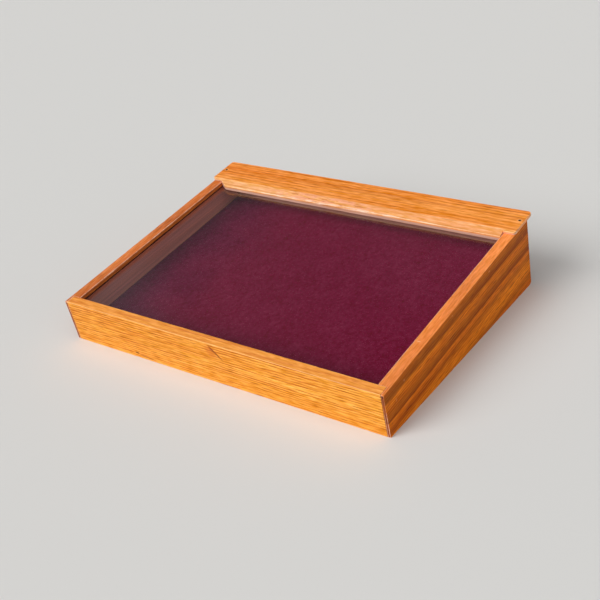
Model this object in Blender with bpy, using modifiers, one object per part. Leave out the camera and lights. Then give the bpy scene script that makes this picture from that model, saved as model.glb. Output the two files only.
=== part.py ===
# Sloping counter-top display case: wooden wedge, glazed top, velvet floor and a drop-down back door.
#
# Every piece is drawn in the slope frame: X runs across the case, Y up the sloping top from the
# front face, and Z out of the plane of the rail tops. One empty tilts that frame so that the
# case stands level on its bottom edges.

import math
from collections import namedtuple
from functools import partial

import bmesh
import bpy
import numpy as np
from mathutils import Matrix, Vector

# Case, in metres
CASE_WIDTH = 0.610
SIDE_LENGTH = 0.452
FRONT_HEIGHT = 0.0765
BACK_HEIGHT = 0.125
SIDE_THICKNESS = 0.019
FRONT_THICKNESS = 0.0175
CORNER_LIP = 0.005
HEEL_RADIUS = 0.008
ARRIS = 0.0012
FIT = 0.0003

# Glass
GLASS_THICKNESS = 0.0032
GLASS_DEPTH = 0.008
GLASS_BITE = 0.0055
GROOVE_SPARE = 0.0005

# Display floor
FLOOR_DEPTH = 0.051
VELVET_THICKNESS = 0.0012
PANEL_THICKNESS = 0.006
PANEL_EDGE_GAP = 0.0008
CLEAT_SIZE = 0.012
CLEAT_SCREW_INSET = 0.060

# Top board
BOARD_OVERHANG = 0.0156
TONGUE_REACH = 0.059
EAR_REACH = 0.0478
EAR_THICKNESS = 0.0055
EAR_OVERHANG = 0.0016
EAR_RADIUS = 0.006
TONGUE_SIDE_GAP = 0.0005
TONGUE_SETBACK = 0.0004
TONGUE_BELOW_TOP = 0.0009
TONGUE_CUT_ACROSS = 0.015
TONGUE_CUT_UP = 0.0104
BOARD_BEVEL_LENGTH = 0.0155
BOARD_BEVEL_DROP = 0.0054
EAR_NAIL_INSET = 0.006
EAR_NAIL_SETBACK = 0.014

# Back
DOOR_THICKNESS = 0.014
DOOR_SIDE_GAP = 0.001
DOOR_SWING_GAP = 0.0008
DOOR_STOP_GAP = 0.0004
STOP_RAIL_THICKNESS = 0.013
STOP_RAIL_HEIGHT = 0.016
BACK_RAIL_THICKNESS = 0.019
BACK_RAIL_REBATE = 0.0075

# Butt hinges
HINGE_SPACING = 0.340
HINGE_LENGTH = 0.038
LEAF_WIDTH = 0.009
LEAF_THICKNESS = 0.001
LEAF_GAP = 0.0004
LEAF_RECESS = 0.0006
KNUCKLE_RADIUS = 0.0028
KNUCKLE_STANDOFF = 0.0004
KNUCKLE_GAP = 0.0005
KNUCKLE_COUNT = 5
HINGE_PIN_RADIUS = 0.0012
PIN_BUTTON_RADIUS = 0.0021
PIN_BUTTON_HEIGHT = 0.0008
HINGE_SCREW_SPACING = 0.024

# Knob
KNOB_RADIUS = 0.0085
KNOB_LENGTH = 0.016
KNOB_HEAD_HALF = 0.0045
KNOB_NECK_RADIUS = 0.0042
KNOB_BASE_RADIUS = 0.0065
KNOB_BASE_HEIGHT = 0.002
KNOB_BELOW_STOP = 0.006
KNOB_SCREW_BITE = 0.009
KNOB_CROWN_ANGLE = math.radians(80)

# Magnetic catch
CATCH_LENGTH = 0.036
CATCH_HEIGHT = 0.0095
CATCH_DEPTH = 0.0105
CATCH_SIDE_GAP = 0.040
CATCH_SCREW_SPACING = 0.027
CATCH_SCREW_BITE = 0.008
MAGNET_LENGTH = 0.014
MAGNET_HEIGHT = 0.005
MAGNET_DEPTH = 0.007
MAGNET_PROUD = 0.0004
STRIKE_LENGTH = 0.020
STRIKE_THICKNESS = 0.0012
STRIKE_BELOW_STOP = 0.0025
STRIKE_MARGIN = 0.0005

# Nails and screws: head radius, head height, shank radius, length
NAIL_HEAD_RADIUS = 0.0017
NAIL_HEAD_HEIGHT = 0.001
NAIL_RADIUS = 0.0011
NAIL_LENGTH = 0.034
NAIL_POINT = 0.003
NAIL_EDGE = 0.020
SCREW_HEAD_RADIUS = 0.0025
SCREW_HEAD_HEIGHT = 0.0013
SCREW_RADIUS = 0.0012
SCREW_POINT = 0.002
HINGE_SCREW_LENGTH = 0.011
CLEAT_SCREW_LENGTH = 0.020
STRIKE_SCREW_LENGTH = 0.009
PAN_HEAD_RADIUS = 0.0033
PAN_HEAD_HEIGHT = 0.0017
PAN_CROWN_RADIUS = 0.002

# Facets of round shapes, and how meshes are cut and welded
ROUND_STEPS = 24
FASTENER_STEPS = 12
CORNER_STEPS = 5
KNOB_STEPS = 9
ARRIS_STEPS = 2
SHARP_ANGLE = math.radians(35)
FLAT_ANGLE = 1e-4
WELD_DISTANCE = 1e-6
AXIS_WELD_DISTANCE = 1e-5
CUT_MARGIN = 0.004

# Places that follow from the sizes above
slope = math.atan2(BACK_HEIGHT - FRONT_HEIGHT, SIDE_LENGTH)
half_width = CASE_WIDTH / 2
inner_half = half_width - SIDE_THICKNESS
front_half = half_width - CORNER_LIP - FIT

groove_top = -GLASS_DEPTH + FIT
groove_bottom = -GLASS_DEPTH - GLASS_THICKNESS - FIT
groove_depth = GLASS_BITE + GROOVE_SPARE

panel_top = -FLOOR_DEPTH - VELVET_THICKNESS - FIT
panel_bottom = panel_top - PANEL_THICKNESS
seat_level = panel_bottom - FIT

board_top = FIT + EAR_THICKNESS
board_bottom = -GLASS_DEPTH + FIT
board_front = SIDE_LENGTH - TONGUE_REACH
board_back = SIDE_LENGTH + BOARD_OVERHANG
ear_front = SIDE_LENGTH - EAR_REACH
ear_half = half_width + EAR_OVERHANG
tongue_half = inner_half - TONGUE_SIDE_GAP

door_back = SIDE_LENGTH
door_front = door_back - DOOR_THICKNESS
stop_back = door_front - DOOR_STOP_GAP
stop_front = stop_back - STOP_RAIL_THICKNESS
stop_top = board_bottom - FIT
stop_bottom = stop_top - STOP_RAIL_HEIGHT
glass_back = stop_front + GLASS_BITE
back_rail_front = SIDE_LENGTH - BACK_RAIL_THICKNESS
rebate_back = back_rail_front + BACK_RAIL_REBATE

leaf_offset = LEAF_GAP / 2
edge_offset = leaf_offset + LEAF_THICKNESS - LEAF_RECESS
back_rail_top = -FLOOR_DEPTH - FIT
pin_height = back_rail_top + edge_offset
pin_back = SIDE_LENGTH + KNUCKLE_STANDOFF + KNUCKLE_RADIUS
door_bottom = pin_height + edge_offset
swing_radius = FIT - DOOR_SWING_GAP - pin_height
door_top = pin_height + math.sqrt(swing_radius ** 2 - (pin_back - door_front) ** 2)
door_half = inner_half - DOOR_SIDE_GAP
pin_place = Vector((0, pin_back, pin_height))

knob_height = stop_bottom - KNOB_BELOW_STOP
catch_right = inner_half - CATCH_SIDE_GAP
catch_middle = catch_right - CATCH_LENGTH / 2
catch_top = stop_bottom - FIT
catch_bottom = catch_top - CATCH_HEIGHT
strike_back = door_front - FIT
strike_front = strike_back - STRIKE_THICKNESS
magnet_back = strike_front - FIT
catch_back = magnet_back - MAGNET_PROUD
catch_front = catch_back - CATCH_DEPTH
strike_top = stop_bottom - STRIKE_BELOW_STOP
strike_bottom = catch_bottom - STRIKE_MARGIN
strike_height = (strike_top + strike_bottom) / 2
magnet_height = (catch_top + catch_bottom) / 2

ALONG_X = (math.radians(90), 0, math.radians(90))
# The exact solver opens seams along the eased edges of these boards
EASED_BOARDS = ("left_side_panel", "right_side_panel", "top_board")
Body = namedtuple("Body", "empty origin")


def bottom_at(y):
    # Height of the level bottom cut below the rail tops, at a distance up the slope
    return -(FRONT_HEIGHT + y * math.tan(slope))


# Scene and collections
def clear_scene():
    for obj in list(bpy.data.objects):
        bpy.data.objects.remove(obj, do_unlink=True)


def new_collection(name):
    collection = bpy.data.collections.new(name)
    bpy.context.scene.collection.children.link(collection)
    return collection


def new_empty(name, parent, location):
    empty = bpy.data.objects.new(name, None)
    empty.location = location
    empty.parent = parent
    parts.objects.link(empty)
    return empty


def new_material(name, colour, roughness, metallic=0.0, transmission=0.0):
    material = bpy.data.materials.new(name)
    material.use_nodes = True
    shader = material.node_tree.nodes["Principled BSDF"]
    shader.inputs["Base Color"].default_value = (*colour, 1.0)
    shader.inputs["Roughness"].default_value = roughness
    shader.inputs["Metallic"].default_value = metallic
    shader.inputs["Transmission Weight"].default_value = transmission
    return material


# Meshes
def baked(obj):
    # The evaluated shape of a helper object as a welded mesh; the helper goes away
    depsgraph = bpy.context.evaluated_depsgraph_get()
    mesh = bpy.data.meshes.new_from_object(obj.evaluated_get(depsgraph), depsgraph=depsgraph)
    bpy.data.objects.remove(obj, do_unlink=True)
    shape = bmesh.new()
    shape.from_mesh(mesh)
    bmesh.ops.remove_doubles(shape, verts=shape.verts, dist=WELD_DISTANCE)
    shape.to_mesh(mesh)
    shape.free()
    return mesh


def box_mesh(size):
    mesh = bpy.data.meshes.new("box")
    shape = bmesh.new()
    bmesh.ops.create_cube(shape, size=1.0)
    bmesh.ops.scale(shape, vec=size, verts=shape.verts)
    shape.to_mesh(mesh)
    shape.free()
    return mesh


def rounded_outline(corners):
    # Corners are (x, y, radius); a corner with a radius becomes an arc
    points = []
    for index, (x, y, radius) in enumerate(corners):
        corner = Vector((x, y))
        if radius == 0:
            points.append(corner)
            continue
        before = (Vector(corners[index - 1][:2]) - corner).normalized()
        after = (Vector(corners[(index + 1) % len(corners)][:2]) - corner).normalized()
        half = before.angle(after) / 2
        centre = corner + (before + after).normalized() * radius / math.sin(half)
        start = corner + before * radius / math.tan(half) - centre
        sweep = start.angle_signed(corner + after * radius / math.tan(half) - centre)
        for step in range(CORNER_STEPS + 1):
            turn = Matrix.Rotation(-sweep * step / CORNER_STEPS, 2)
            points.append(centre + turn @ start)
    return points


def plate_mesh(corners, thickness):
    # A flat outline in local XY with its thickness along local Z, half on each side
    curve = bpy.data.curves.new("outline", "CURVE")
    curve.dimensions = "2D"
    curve.fill_mode = "BOTH"
    curve.extrude = thickness / 2
    points = rounded_outline(corners)
    spline = curve.splines.new("POLY")
    spline.points.add(len(points) - 1)
    spline.use_cyclic_u = True
    for point, place in zip(spline.points, points):
        point.co = (place.x, place.y, 0, 1)
    obj = bpy.data.objects.new("outline", curve)
    parts.objects.link(obj)
    mesh = baked(obj)
    shape = bmesh.new()
    shape.from_mesh(mesh)
    bmesh.ops.dissolve_limit(shape, angle_limit=FLAT_ANGLE, verts=shape.verts, edges=shape.edges)
    shape.to_mesh(mesh)
    shape.free()
    return mesh


def turned_mesh(profile, steps):
    # A profile of (radius, height) from the top of the axis down to its foot, turned about Z
    mesh = bpy.data.meshes.new("profile")
    edges = [(i, i + 1) for i in range(len(profile) - 1)]
    mesh.from_pydata([(r, 0, z) for r, z in profile], edges, [])
    obj = bpy.data.objects.new("profile", mesh)
    parts.objects.link(obj)
    screw = obj.modifiers.new("turn", "SCREW")
    screw.axis = "Z"
    screw.angle = math.tau
    screw.steps = steps
    screw.render_steps = steps
    screw.use_merge_vertices = True
    screw.merge_threshold = AXIS_WELD_DISTANCE
    return baked(obj)


def grouped_mesh(mesh, places):
    # One copy of a mesh at each (point, direction), its local Z along the direction
    shape = bmesh.new()
    for point, direction in places:
        start = len(shape.verts)
        shape.from_mesh(mesh)
        shape.verts.ensure_lookup_table()
        turn = Vector((0, 0, 1)).rotation_difference(Vector(direction)).to_matrix().to_4x4()
        matrix = Matrix.Translation(point) @ turn
        bmesh.ops.transform(shape, matrix=matrix, verts=shape.verts[start:])
    group = bpy.data.meshes.new("group")
    shape.to_mesh(group)
    shape.free()
    return group


# Fastener profiles, head at the origin and shank down -Z; grow makes the hole for the same one
def nail_profile(grow=0.0):
    tip = -NAIL_LENGTH - grow
    return [
        (0, grow),
        (NAIL_HEAD_RADIUS + grow, grow),
        (NAIL_HEAD_RADIUS + grow, -NAIL_HEAD_HEIGHT - grow),
        (NAIL_RADIUS + grow, -NAIL_HEAD_HEIGHT - grow),
        (NAIL_RADIUS + grow, tip + NAIL_POINT),
        (0, tip),
    ]


def flat_screw_profile(length, grow=0.0):
    tip = -length - grow
    return [
        (0, grow),
        (SCREW_HEAD_RADIUS + grow, grow),
        (SCREW_HEAD_RADIUS + grow, -grow),
        (SCREW_RADIUS + grow, -SCREW_HEAD_HEIGHT - grow),
        (SCREW_RADIUS + grow, tip + SCREW_POINT),
        (0, tip),
    ]


def pan_screw_profile(length, grow=0.0):
    tip = -length - grow
    return [
        (0, PAN_HEAD_HEIGHT),
        (PAN_CROWN_RADIUS, PAN_HEAD_HEIGHT),
        (PAN_HEAD_RADIUS, PAN_HEAD_HEIGHT / 2),
        (PAN_HEAD_RADIUS, grow),
        (SCREW_RADIUS + grow, grow),
        (SCREW_RADIUS + grow, tip + SCREW_POINT),
        (0, tip),
    ]


def disc_profile(radius, height):
    return [(0, 0), (radius, 0), (radius, -height), (0, -height)]


# Objects
def add_part(name, mesh, body, material, place=(0, 0, 0), turn=(0, 0, 0), round_piece=False):
    if round_piece:
        mesh.shade_smooth()
        mesh.set_sharp_from_angle(angle=SHARP_ANGLE)
    mesh.materials.clear()
    mesh.materials.append(material)
    obj = bpy.data.objects.new(name, mesh)
    parts.objects.link(obj)
    obj.parent = body.empty
    obj.location = Vector(place) - body.origin
    obj.rotation_euler = turn
    return obj


def add_cutter(name, mesh, body, place=(0, 0, 0), turn=(0, 0, 0)):
    obj = bpy.data.objects.new(name, mesh)
    cutters.objects.link(obj)
    obj.parent = body.empty
    obj.location = Vector(place) - body.origin
    obj.rotation_euler = turn
    obj.hide_render = True
    obj.display_type = "WIRE"
    return obj


def add_box(name, low, high, body, material):
    low = Vector(low)
    high = Vector(high)
    return add_part(name, box_mesh(high - low), body, material, (low + high) / 2)


def box_cutter(name, low, high, body):
    low = Vector(low)
    high = Vector(high)
    return add_cutter(name, box_mesh(high - low), body, (low + high) / 2)


def boolean(obj, tool, operation="DIFFERENCE"):
    modifier = obj.modifiers.new(tool.name, "BOOLEAN")
    modifier.operation = operation
    modifier.solver = "MANIFOLD" if obj.name in EASED_BOARDS else "EXACT"
    modifier.object = tool


def ease_edges(obj, width=ARRIS):
    modifier = obj.modifiers.new("arris", "BEVEL")
    modifier.width = width
    modifier.segments = ARRIS_STEPS
    modifier.limit_method = "ANGLE"
    modifier.angle_limit = SHARP_ANGLE


def fasten(drill_name, profile, spots, body, material, targets):
    # One object for each (name, point, direction), and the same shapes grown by the fit as holes
    mesh = turned_mesh(profile(0.0), FASTENER_STEPS)
    for name, point, direction in spots:
        turn = Vector((0, 0, 1)).rotation_difference(Vector(direction)).to_euler()
        add_part(name, mesh, body, material, point, turn, True)
    places = [(point, direction) for name, point, direction in spots]
    hole = grouped_mesh(turned_mesh(profile(FIT), FASTENER_STEPS), places)
    drill = add_cutter(drill_name, hole, body)
    for target in targets:
        boolean(target, drill)


# Wooden case
def side_panel(name, sign, case):
    outline = [
        (0, 0, 0),
        (SIDE_LENGTH, 0, 0),
        (SIDE_LENGTH, bottom_at(SIDE_LENGTH), HEEL_RADIUS),
        (0, bottom_at(0), 0),
    ]
    middle = sign * (half_width - SIDE_THICKNESS / 2)
    oak = new_material(name, (0.42, 0.17, 0.045), 0.45)
    panel = add_part(name, plate_mesh(outline, SIDE_THICKNESS), case, oak, (middle, 0, 0), ALONG_X)
    ease_edges(panel)
    inside = sign * (inner_half - CUT_MARGIN)
    rabbet_floor = sign * (half_width - CORNER_LIP)
    deepest = bottom_at(SIDE_LENGTH) - CUT_MARGIN
    rabbet = box_cutter(
        name + "_rabbet",
        (min(inside, rabbet_floor), -CUT_MARGIN, deepest),
        (max(inside, rabbet_floor), FRONT_THICKNESS + FIT, CUT_MARGIN),
        case,
    )
    boolean(panel, rabbet)
    groove_floor = sign * (inner_half + groove_depth)
    groove = box_cutter(
        name + "_groove",
        (min(inside, groove_floor), FRONT_THICKNESS / 2, groove_bottom),
        (max(inside, groove_floor), stop_back, groove_top),
        case,
    )
    boolean(panel, groove)
    return panel


def front_board(case):
    outline = [
        (0, 0, 0),
        (FRONT_THICKNESS, 0, 0),
        (FRONT_THICKNESS, bottom_at(FRONT_THICKNESS), 0),
        (0, bottom_at(0), 0),
    ]
    oak = new_material("front_board", (0.78, 0.34, 0.07), 0.42)
    board = add_part("front_board", plate_mesh(outline, 2 * front_half), case, oak, turn=ALONG_X)
    ease_edges(board)
    groove = box_cutter(
        "front_board_groove",
        (-half_width, FRONT_THICKNESS - groove_depth, groove_bottom),
        (half_width, FRONT_THICKNESS + CUT_MARGIN, groove_top),
        case,
    )
    boolean(board, groove)
    return board


def top_board(case):
    outline = [
        (ear_half, ear_front, EAR_RADIUS),
        (ear_half, board_back, EAR_RADIUS),
        (-ear_half, board_back, EAR_RADIUS),
        (-ear_half, ear_front, EAR_RADIUS),
    ]
    oak = new_material("top_board", (0.72, 0.31, 0.07), 0.42)
    place = (0, 0, FIT + EAR_THICKNESS / 2)
    board = add_part("top_board", plate_mesh(outline, EAR_THICKNESS), case, oak, place)
    tongue = box_cutter(
        "top_board_tongue",
        (-tongue_half, board_front, board_bottom),
        (tongue_half, stop_back - TONGUE_SETBACK, board_top - TONGUE_BELOW_TOP),
        case,
    )
    boolean(board, tongue, "UNION")
    # The tongue's front left corner is cut off short of the ear
    cut_end = TONGUE_CUT_ACROSS * (1 + CUT_MARGIN / TONGUE_CUT_UP)
    corner_outline = [
        (-tongue_half - CUT_MARGIN, board_front + TONGUE_CUT_UP, 0),
        (-tongue_half - CUT_MARGIN, board_front - CUT_MARGIN, 0),
        (-tongue_half + cut_end, board_front - CUT_MARGIN, 0),
        (-tongue_half, board_front + TONGUE_CUT_UP, 0),
    ]
    block = plate_mesh(corner_outline, 2 * (board_top - board_bottom))
    boolean(board, add_cutter("top_board_corner", block, case))
    bevel_end = BOARD_BEVEL_DROP * (1 + CUT_MARGIN / BOARD_BEVEL_LENGTH)
    bevel_outline = [
        (board_front + BOARD_BEVEL_LENGTH, board_top, 0),
        (board_front + BOARD_BEVEL_LENGTH, board_top + CUT_MARGIN, 0),
        (board_front - CUT_MARGIN, board_top + CUT_MARGIN, 0),
        (board_front - CUT_MARGIN, board_top - bevel_end, 0),
    ]
    wedge = plate_mesh(bevel_outline, 2 * CASE_WIDTH)
    bevel = add_cutter("top_board_bevel", wedge, case, turn=ALONG_X)
    boolean(board, bevel)
    ease_edges(board)
    return board


def stop_rail(case):
    outline = [
        (stop_front, stop_bottom, 0),
        (stop_back, stop_bottom, 0),
        (stop_back, stop_top, 0),
        (glass_back + GROOVE_SPARE, stop_top, 0),
        (glass_back + GROOVE_SPARE, groove_bottom, 0),
        (stop_front, groove_bottom, 0),
    ]
    oak = new_material("rear_stop_rail", (0.55, 0.26, 0.08), 0.5)
    strip = plate_mesh(outline, 2 * (inner_half - FIT))
    return add_part("rear_stop_rail", strip, case, oak, turn=ALONG_X)


def back_rail(case):
    outline = [
        (back_rail_front, seat_level, 0),
        (rebate_back, seat_level, 0),
        (rebate_back, back_rail_top, 0),
        (SIDE_LENGTH, back_rail_top, 0),
        (SIDE_LENGTH, bottom_at(SIDE_LENGTH), HEEL_RADIUS),
        (back_rail_front, bottom_at(back_rail_front), 0),
    ]
    oak = new_material("back_rail", (0.55, 0.24, 0.07), 0.45)
    plank = plate_mesh(outline, 2 * (inner_half - FIT))
    return add_part("back_rail", plank, case, oak, turn=ALONG_X)


def back_door(door):
    oak = new_material("back_door", (0.58, 0.26, 0.07), 0.45)
    low = (-door_half, door_front, door_bottom)
    high = (door_half, door_back, door_top)
    panel = add_box("back_door", low, high, door, oak)
    ease_edges(panel)
    return panel


# Glass, display floor and what carries it
def glass_pane(case):
    glass = new_material("glass_pane", (0.90, 0.93, 0.91), 0.03, transmission=1.0)
    side = inner_half + GLASS_BITE
    low = (-side, FRONT_THICKNESS - GLASS_BITE, -GLASS_DEPTH - GLASS_THICKNESS)
    add_box("glass_pane", low, (side, glass_back, -GLASS_DEPTH), case, glass)


def display_floor(case):
    panel_half = inner_half - PANEL_EDGE_GAP
    front = FRONT_THICKNESS + PANEL_EDGE_GAP
    back = rebate_back - FIT
    plywood = new_material("display_panel", (0.62, 0.44, 0.25), 0.7)
    velvet = new_material("velvet_lining", (0.115, 0.012, 0.032), 0.9)
    low = (-panel_half, front, panel_bottom)
    add_box("display_panel", low, (panel_half, back, panel_top), case, plywood)
    low = (-panel_half, front, -FLOOR_DEPTH - VELVET_THICKNESS)
    add_box("velvet_lining", low, (panel_half, back, -FLOOR_DEPTH), case, velvet)


def cleats(case, left_side, right_side, front):
    low = seat_level - CLEAT_SIZE
    outer = inner_half - FIT
    inner = outer - CLEAT_SIZE
    start = FRONT_THICKNESS + FIT
    end = back_rail_front - FIT
    pine = new_material("left_cleat", (0.60, 0.40, 0.20), 0.65)
    left = add_box("left_cleat", (-outer, start, low), (-inner, end, seat_level), case, pine)
    pine = new_material("right_cleat", (0.60, 0.40, 0.20), 0.65)
    right = add_box("right_cleat", (inner, start, low), (outer, end, seat_level), case, pine)
    pine = new_material("front_cleat", (0.60, 0.40, 0.20), 0.65)
    across = inner - FIT
    high = (across, start + CLEAT_SIZE, seat_level)
    front_strip = add_box("front_cleat", (-across, start, low), high, case, pine)
    height = seat_level - CLEAT_SIZE / 2
    spots = []
    for word, y in (("front", start + CLEAT_SCREW_INSET), ("back", end - CLEAT_SCREW_INSET)):
        spots.append(("left_cleat_screw_" + word, (-inner, y, height), (1, 0, 0)))
        spots.append(("right_cleat_screw_" + word, (inner, y, height), (-1, 0, 0)))
    for word, x in (("left", CLEAT_SCREW_INSET - across), ("right", across - CLEAT_SCREW_INSET)):
        spots.append(("front_cleat_screw_" + word, (x, start + CLEAT_SIZE, height), (0, 1, 0)))
    steel = new_material("cleat_screw", (0.55, 0.50, 0.38), 0.4, 1.0)
    held = [left, right, front_strip, left_side, right_side, front]
    fasten("cleat_drill", partial(flat_screw_profile, CLEAT_SCREW_LENGTH), spots, case, steel, held)


# Nails
def board_nails(case, board, left_side, right_side):
    x = half_width - EAR_NAIL_INSET
    y = SIDE_LENGTH - EAR_NAIL_SETBACK
    spots = [
        ("left_ear_nail", (-x, y, board_top), (0, 0, 1)),
        ("right_ear_nail", (x, y, board_top), (0, 0, 1)),
    ]
    steel = new_material("ear_nail", (0.06, 0.05, 0.045), 0.6, 0.8)
    fasten("ear_drill", nail_profile, spots, case, steel, [board, left_side, right_side])


def side_nails(case, left_side, right_side, front, rail, stop):
    rail_middle = (rebate_back + SIDE_LENGTH) / 2
    places = [
        ("front_nail_upper", FRONT_THICKNESS / 2, -NAIL_EDGE),
        ("front_nail_lower", FRONT_THICKNESS / 2, bottom_at(0) + NAIL_EDGE),
        ("stop_rail_nail", (stop_front + stop_back) / 2, (groove_bottom + stop_bottom) / 2),
        ("back_rail_nail_upper", rail_middle, back_rail_top - NAIL_EDGE),
        ("back_rail_nail_lower", rail_middle, bottom_at(SIDE_LENGTH) + NAIL_EDGE),
    ]
    spots = []
    for word, sign in (("left_", -1), ("right_", 1)):
        for name, y, z in places:
            spots.append((word + name, (sign * half_width, y, z), (sign, 0, 0)))
    steel = new_material("side_nail", (0.35, 0.34, 0.33), 0.5, 1.0)
    held = [left_side, right_side, front, rail, stop]
    fasten("side_drill", nail_profile, spots, case, steel, held)


# Hinges
def hinge_leaf(name, body, middle, side, knuckles, brass):
    # side is -1 for the leaf on the rail and +1 for the leaf on the door
    near = pin_height + side * leaf_offset
    far = near + side * LEAF_THICKNESS
    low, high = min(near, far), max(near, far)
    start = middle - HINGE_LENGTH / 2
    leaf = add_box(
        name,
        (start, SIDE_LENGTH - LEAF_WIDTH, low),
        (start + HINGE_LENGTH, SIDE_LENGTH, high),
        body,
        brass,
    )
    pitch = (HINGE_LENGTH + KNUCKLE_GAP) / KNUCKLE_COUNT
    length = pitch - KNUCKLE_GAP
    rod = turned_mesh(disc_profile(KNUCKLE_RADIUS, length), ROUND_STEPS)
    web_width = KNUCKLE_RADIUS + 2 * KNUCKLE_STANDOFF
    web = box_mesh((length, web_width, high - low))
    web_place = (pin_back - web_width / 2, (low + high) / 2)
    ends = [start + slot * pitch + length for slot in knuckles]
    webs = grouped_mesh(web, [((x - length / 2, *web_place), (0, 0, 1)) for x in ends])
    boolean(leaf, add_cutter(name + "_webs", webs, body), "UNION")
    rods = grouped_mesh(rod, [((x, pin_back, pin_height), (1, 0, 0)) for x in ends])
    boolean(leaf, add_cutter(name + "_knuckles", rods, body), "UNION")
    reach = HINGE_LENGTH + 2 * CUT_MARGIN
    bore = turned_mesh(disc_profile(HINGE_PIN_RADIUS + FIT, reach), FASTENER_STEPS)
    bore_end = Vector((start - CUT_MARGIN + reach, pin_back, pin_height))
    bore = grouped_mesh(bore, [(bore_end, (1, 0, 0))])
    boolean(leaf, add_cutter(name + "_bore", bore, body))
    return leaf


def hinge_pin(name, case, middle, brass):
    reach = HINGE_LENGTH / 2 + FIT
    end = reach + PIN_BUTTON_HEIGHT
    profile = [
        (0, end),
        (PIN_BUTTON_RADIUS, end),
        (PIN_BUTTON_RADIUS, reach),
        (HINGE_PIN_RADIUS, reach),
        (HINGE_PIN_RADIUS, -reach),
        (PIN_BUTTON_RADIUS, -reach),
        (PIN_BUTTON_RADIUS, -end),
        (0, -end),
    ]
    place = Vector((middle, 0, 0)) + pin_place
    turned = turned_mesh(profile, FASTENER_STEPS)
    add_part(name, turned, case, brass, place, (0, math.radians(90), 0), True)


def mortise(name, body, middle, side):
    floor = pin_height + side * (leaf_offset + LEAF_THICKNESS + FIT)
    half = HINGE_LENGTH / 2 + FIT
    front = SIDE_LENGTH - LEAF_WIDTH - FIT
    return box_cutter(
        name,
        (middle - half, front, min(pin_height, floor)),
        (middle + half, SIDE_LENGTH + CUT_MARGIN, max(pin_height, floor)),
        body,
    )


def hinges(case, door, rail, panel):
    rail_leaves, door_leaves, rail_screws, door_screws = [], [], [], []
    even = range(0, KNUCKLE_COUNT, 2)
    odd = range(1, KNUCKLE_COUNT, 2)
    for word, sign in (("left", -1), ("right", 1)):
        middle = sign * HINGE_SPACING / 2
        for kind, body, side, knuckles, leaves, wood, screws in (
            ("rail", case, -1, even, rail_leaves, rail, rail_screws),
            ("door", door, 1, odd, door_leaves, panel, door_screws),
        ):
            name = word + "_hinge_" + kind + "_leaf"
            brass = new_material(name, (0.60, 0.42, 0.16), 0.35, 1.0)
            leaves.append(hinge_leaf(name, body, middle, side, knuckles, brass))
            boolean(wood, mortise(name + "_mortise", body, middle, side))
            face = pin_height + side * leaf_offset
            row = SIDE_LENGTH - LEAF_WIDTH / 2
            for end, way in ((1, -1), (2, 1)):
                place = (middle + way * HINGE_SCREW_SPACING / 2, row, face)
                screws.append((f"{word}_hinge_{kind}_screw_{end}", place, (0, 0, -side)))
        brass = new_material(word + "_hinge_pin", (0.60, 0.42, 0.16), 0.35, 1.0)
        hinge_pin(word + "_hinge_pin", case, middle, brass)
    for kind, screws, body, held in (
        ("rail", rail_screws, case, [*rail_leaves, rail]),
        ("door", door_screws, door, [*door_leaves, panel]),
    ):
        brass = new_material("hinge_" + kind + "_screw", (0.62, 0.45, 0.18), 0.3, 1.0)
        profile = partial(flat_screw_profile, HINGE_SCREW_LENGTH)
        fasten("hinge_" + kind + "_drill", profile, screws, body, brass, held)


# Knob and catch
def knob(door, panel):
    head_middle = KNOB_LENGTH - KNOB_HEAD_HALF
    profile = [(0, KNOB_LENGTH)]
    neck_turn = math.acos(KNOB_NECK_RADIUS / KNOB_RADIUS)
    for turn in np.linspace(KNOB_CROWN_ANGLE, -neck_turn, KNOB_STEPS):
        height = head_middle + KNOB_HEAD_HALF * math.sin(turn)
        profile.append((KNOB_RADIUS * math.cos(turn), height))
    profile += [
        (KNOB_NECK_RADIUS, KNOB_BASE_HEIGHT),
        (KNOB_BASE_RADIUS, KNOB_BASE_HEIGHT),
        (KNOB_BASE_RADIUS, FIT),
        (0, FIT),
    ]
    brass = new_material("door_knob", (0.64, 0.46, 0.18), 0.28, 1.0)
    place = (0, door_back, knob_height)
    turned = turned_mesh(profile, ROUND_STEPS)
    handle = add_part("door_knob", turned, door, brass, place, (math.radians(-90), 0, 0), True)
    steel = new_material("knob_screw", (0.58, 0.56, 0.52), 0.35, 1.0)
    length = DOOR_THICKNESS + FIT + KNOB_SCREW_BITE
    spots = [("knob_screw", (0, door_front - FIT, knob_height), (0, -1, 0))]
    fasten("knob_drill", partial(pan_screw_profile, length), spots, door, steel, [handle, panel])


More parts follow.
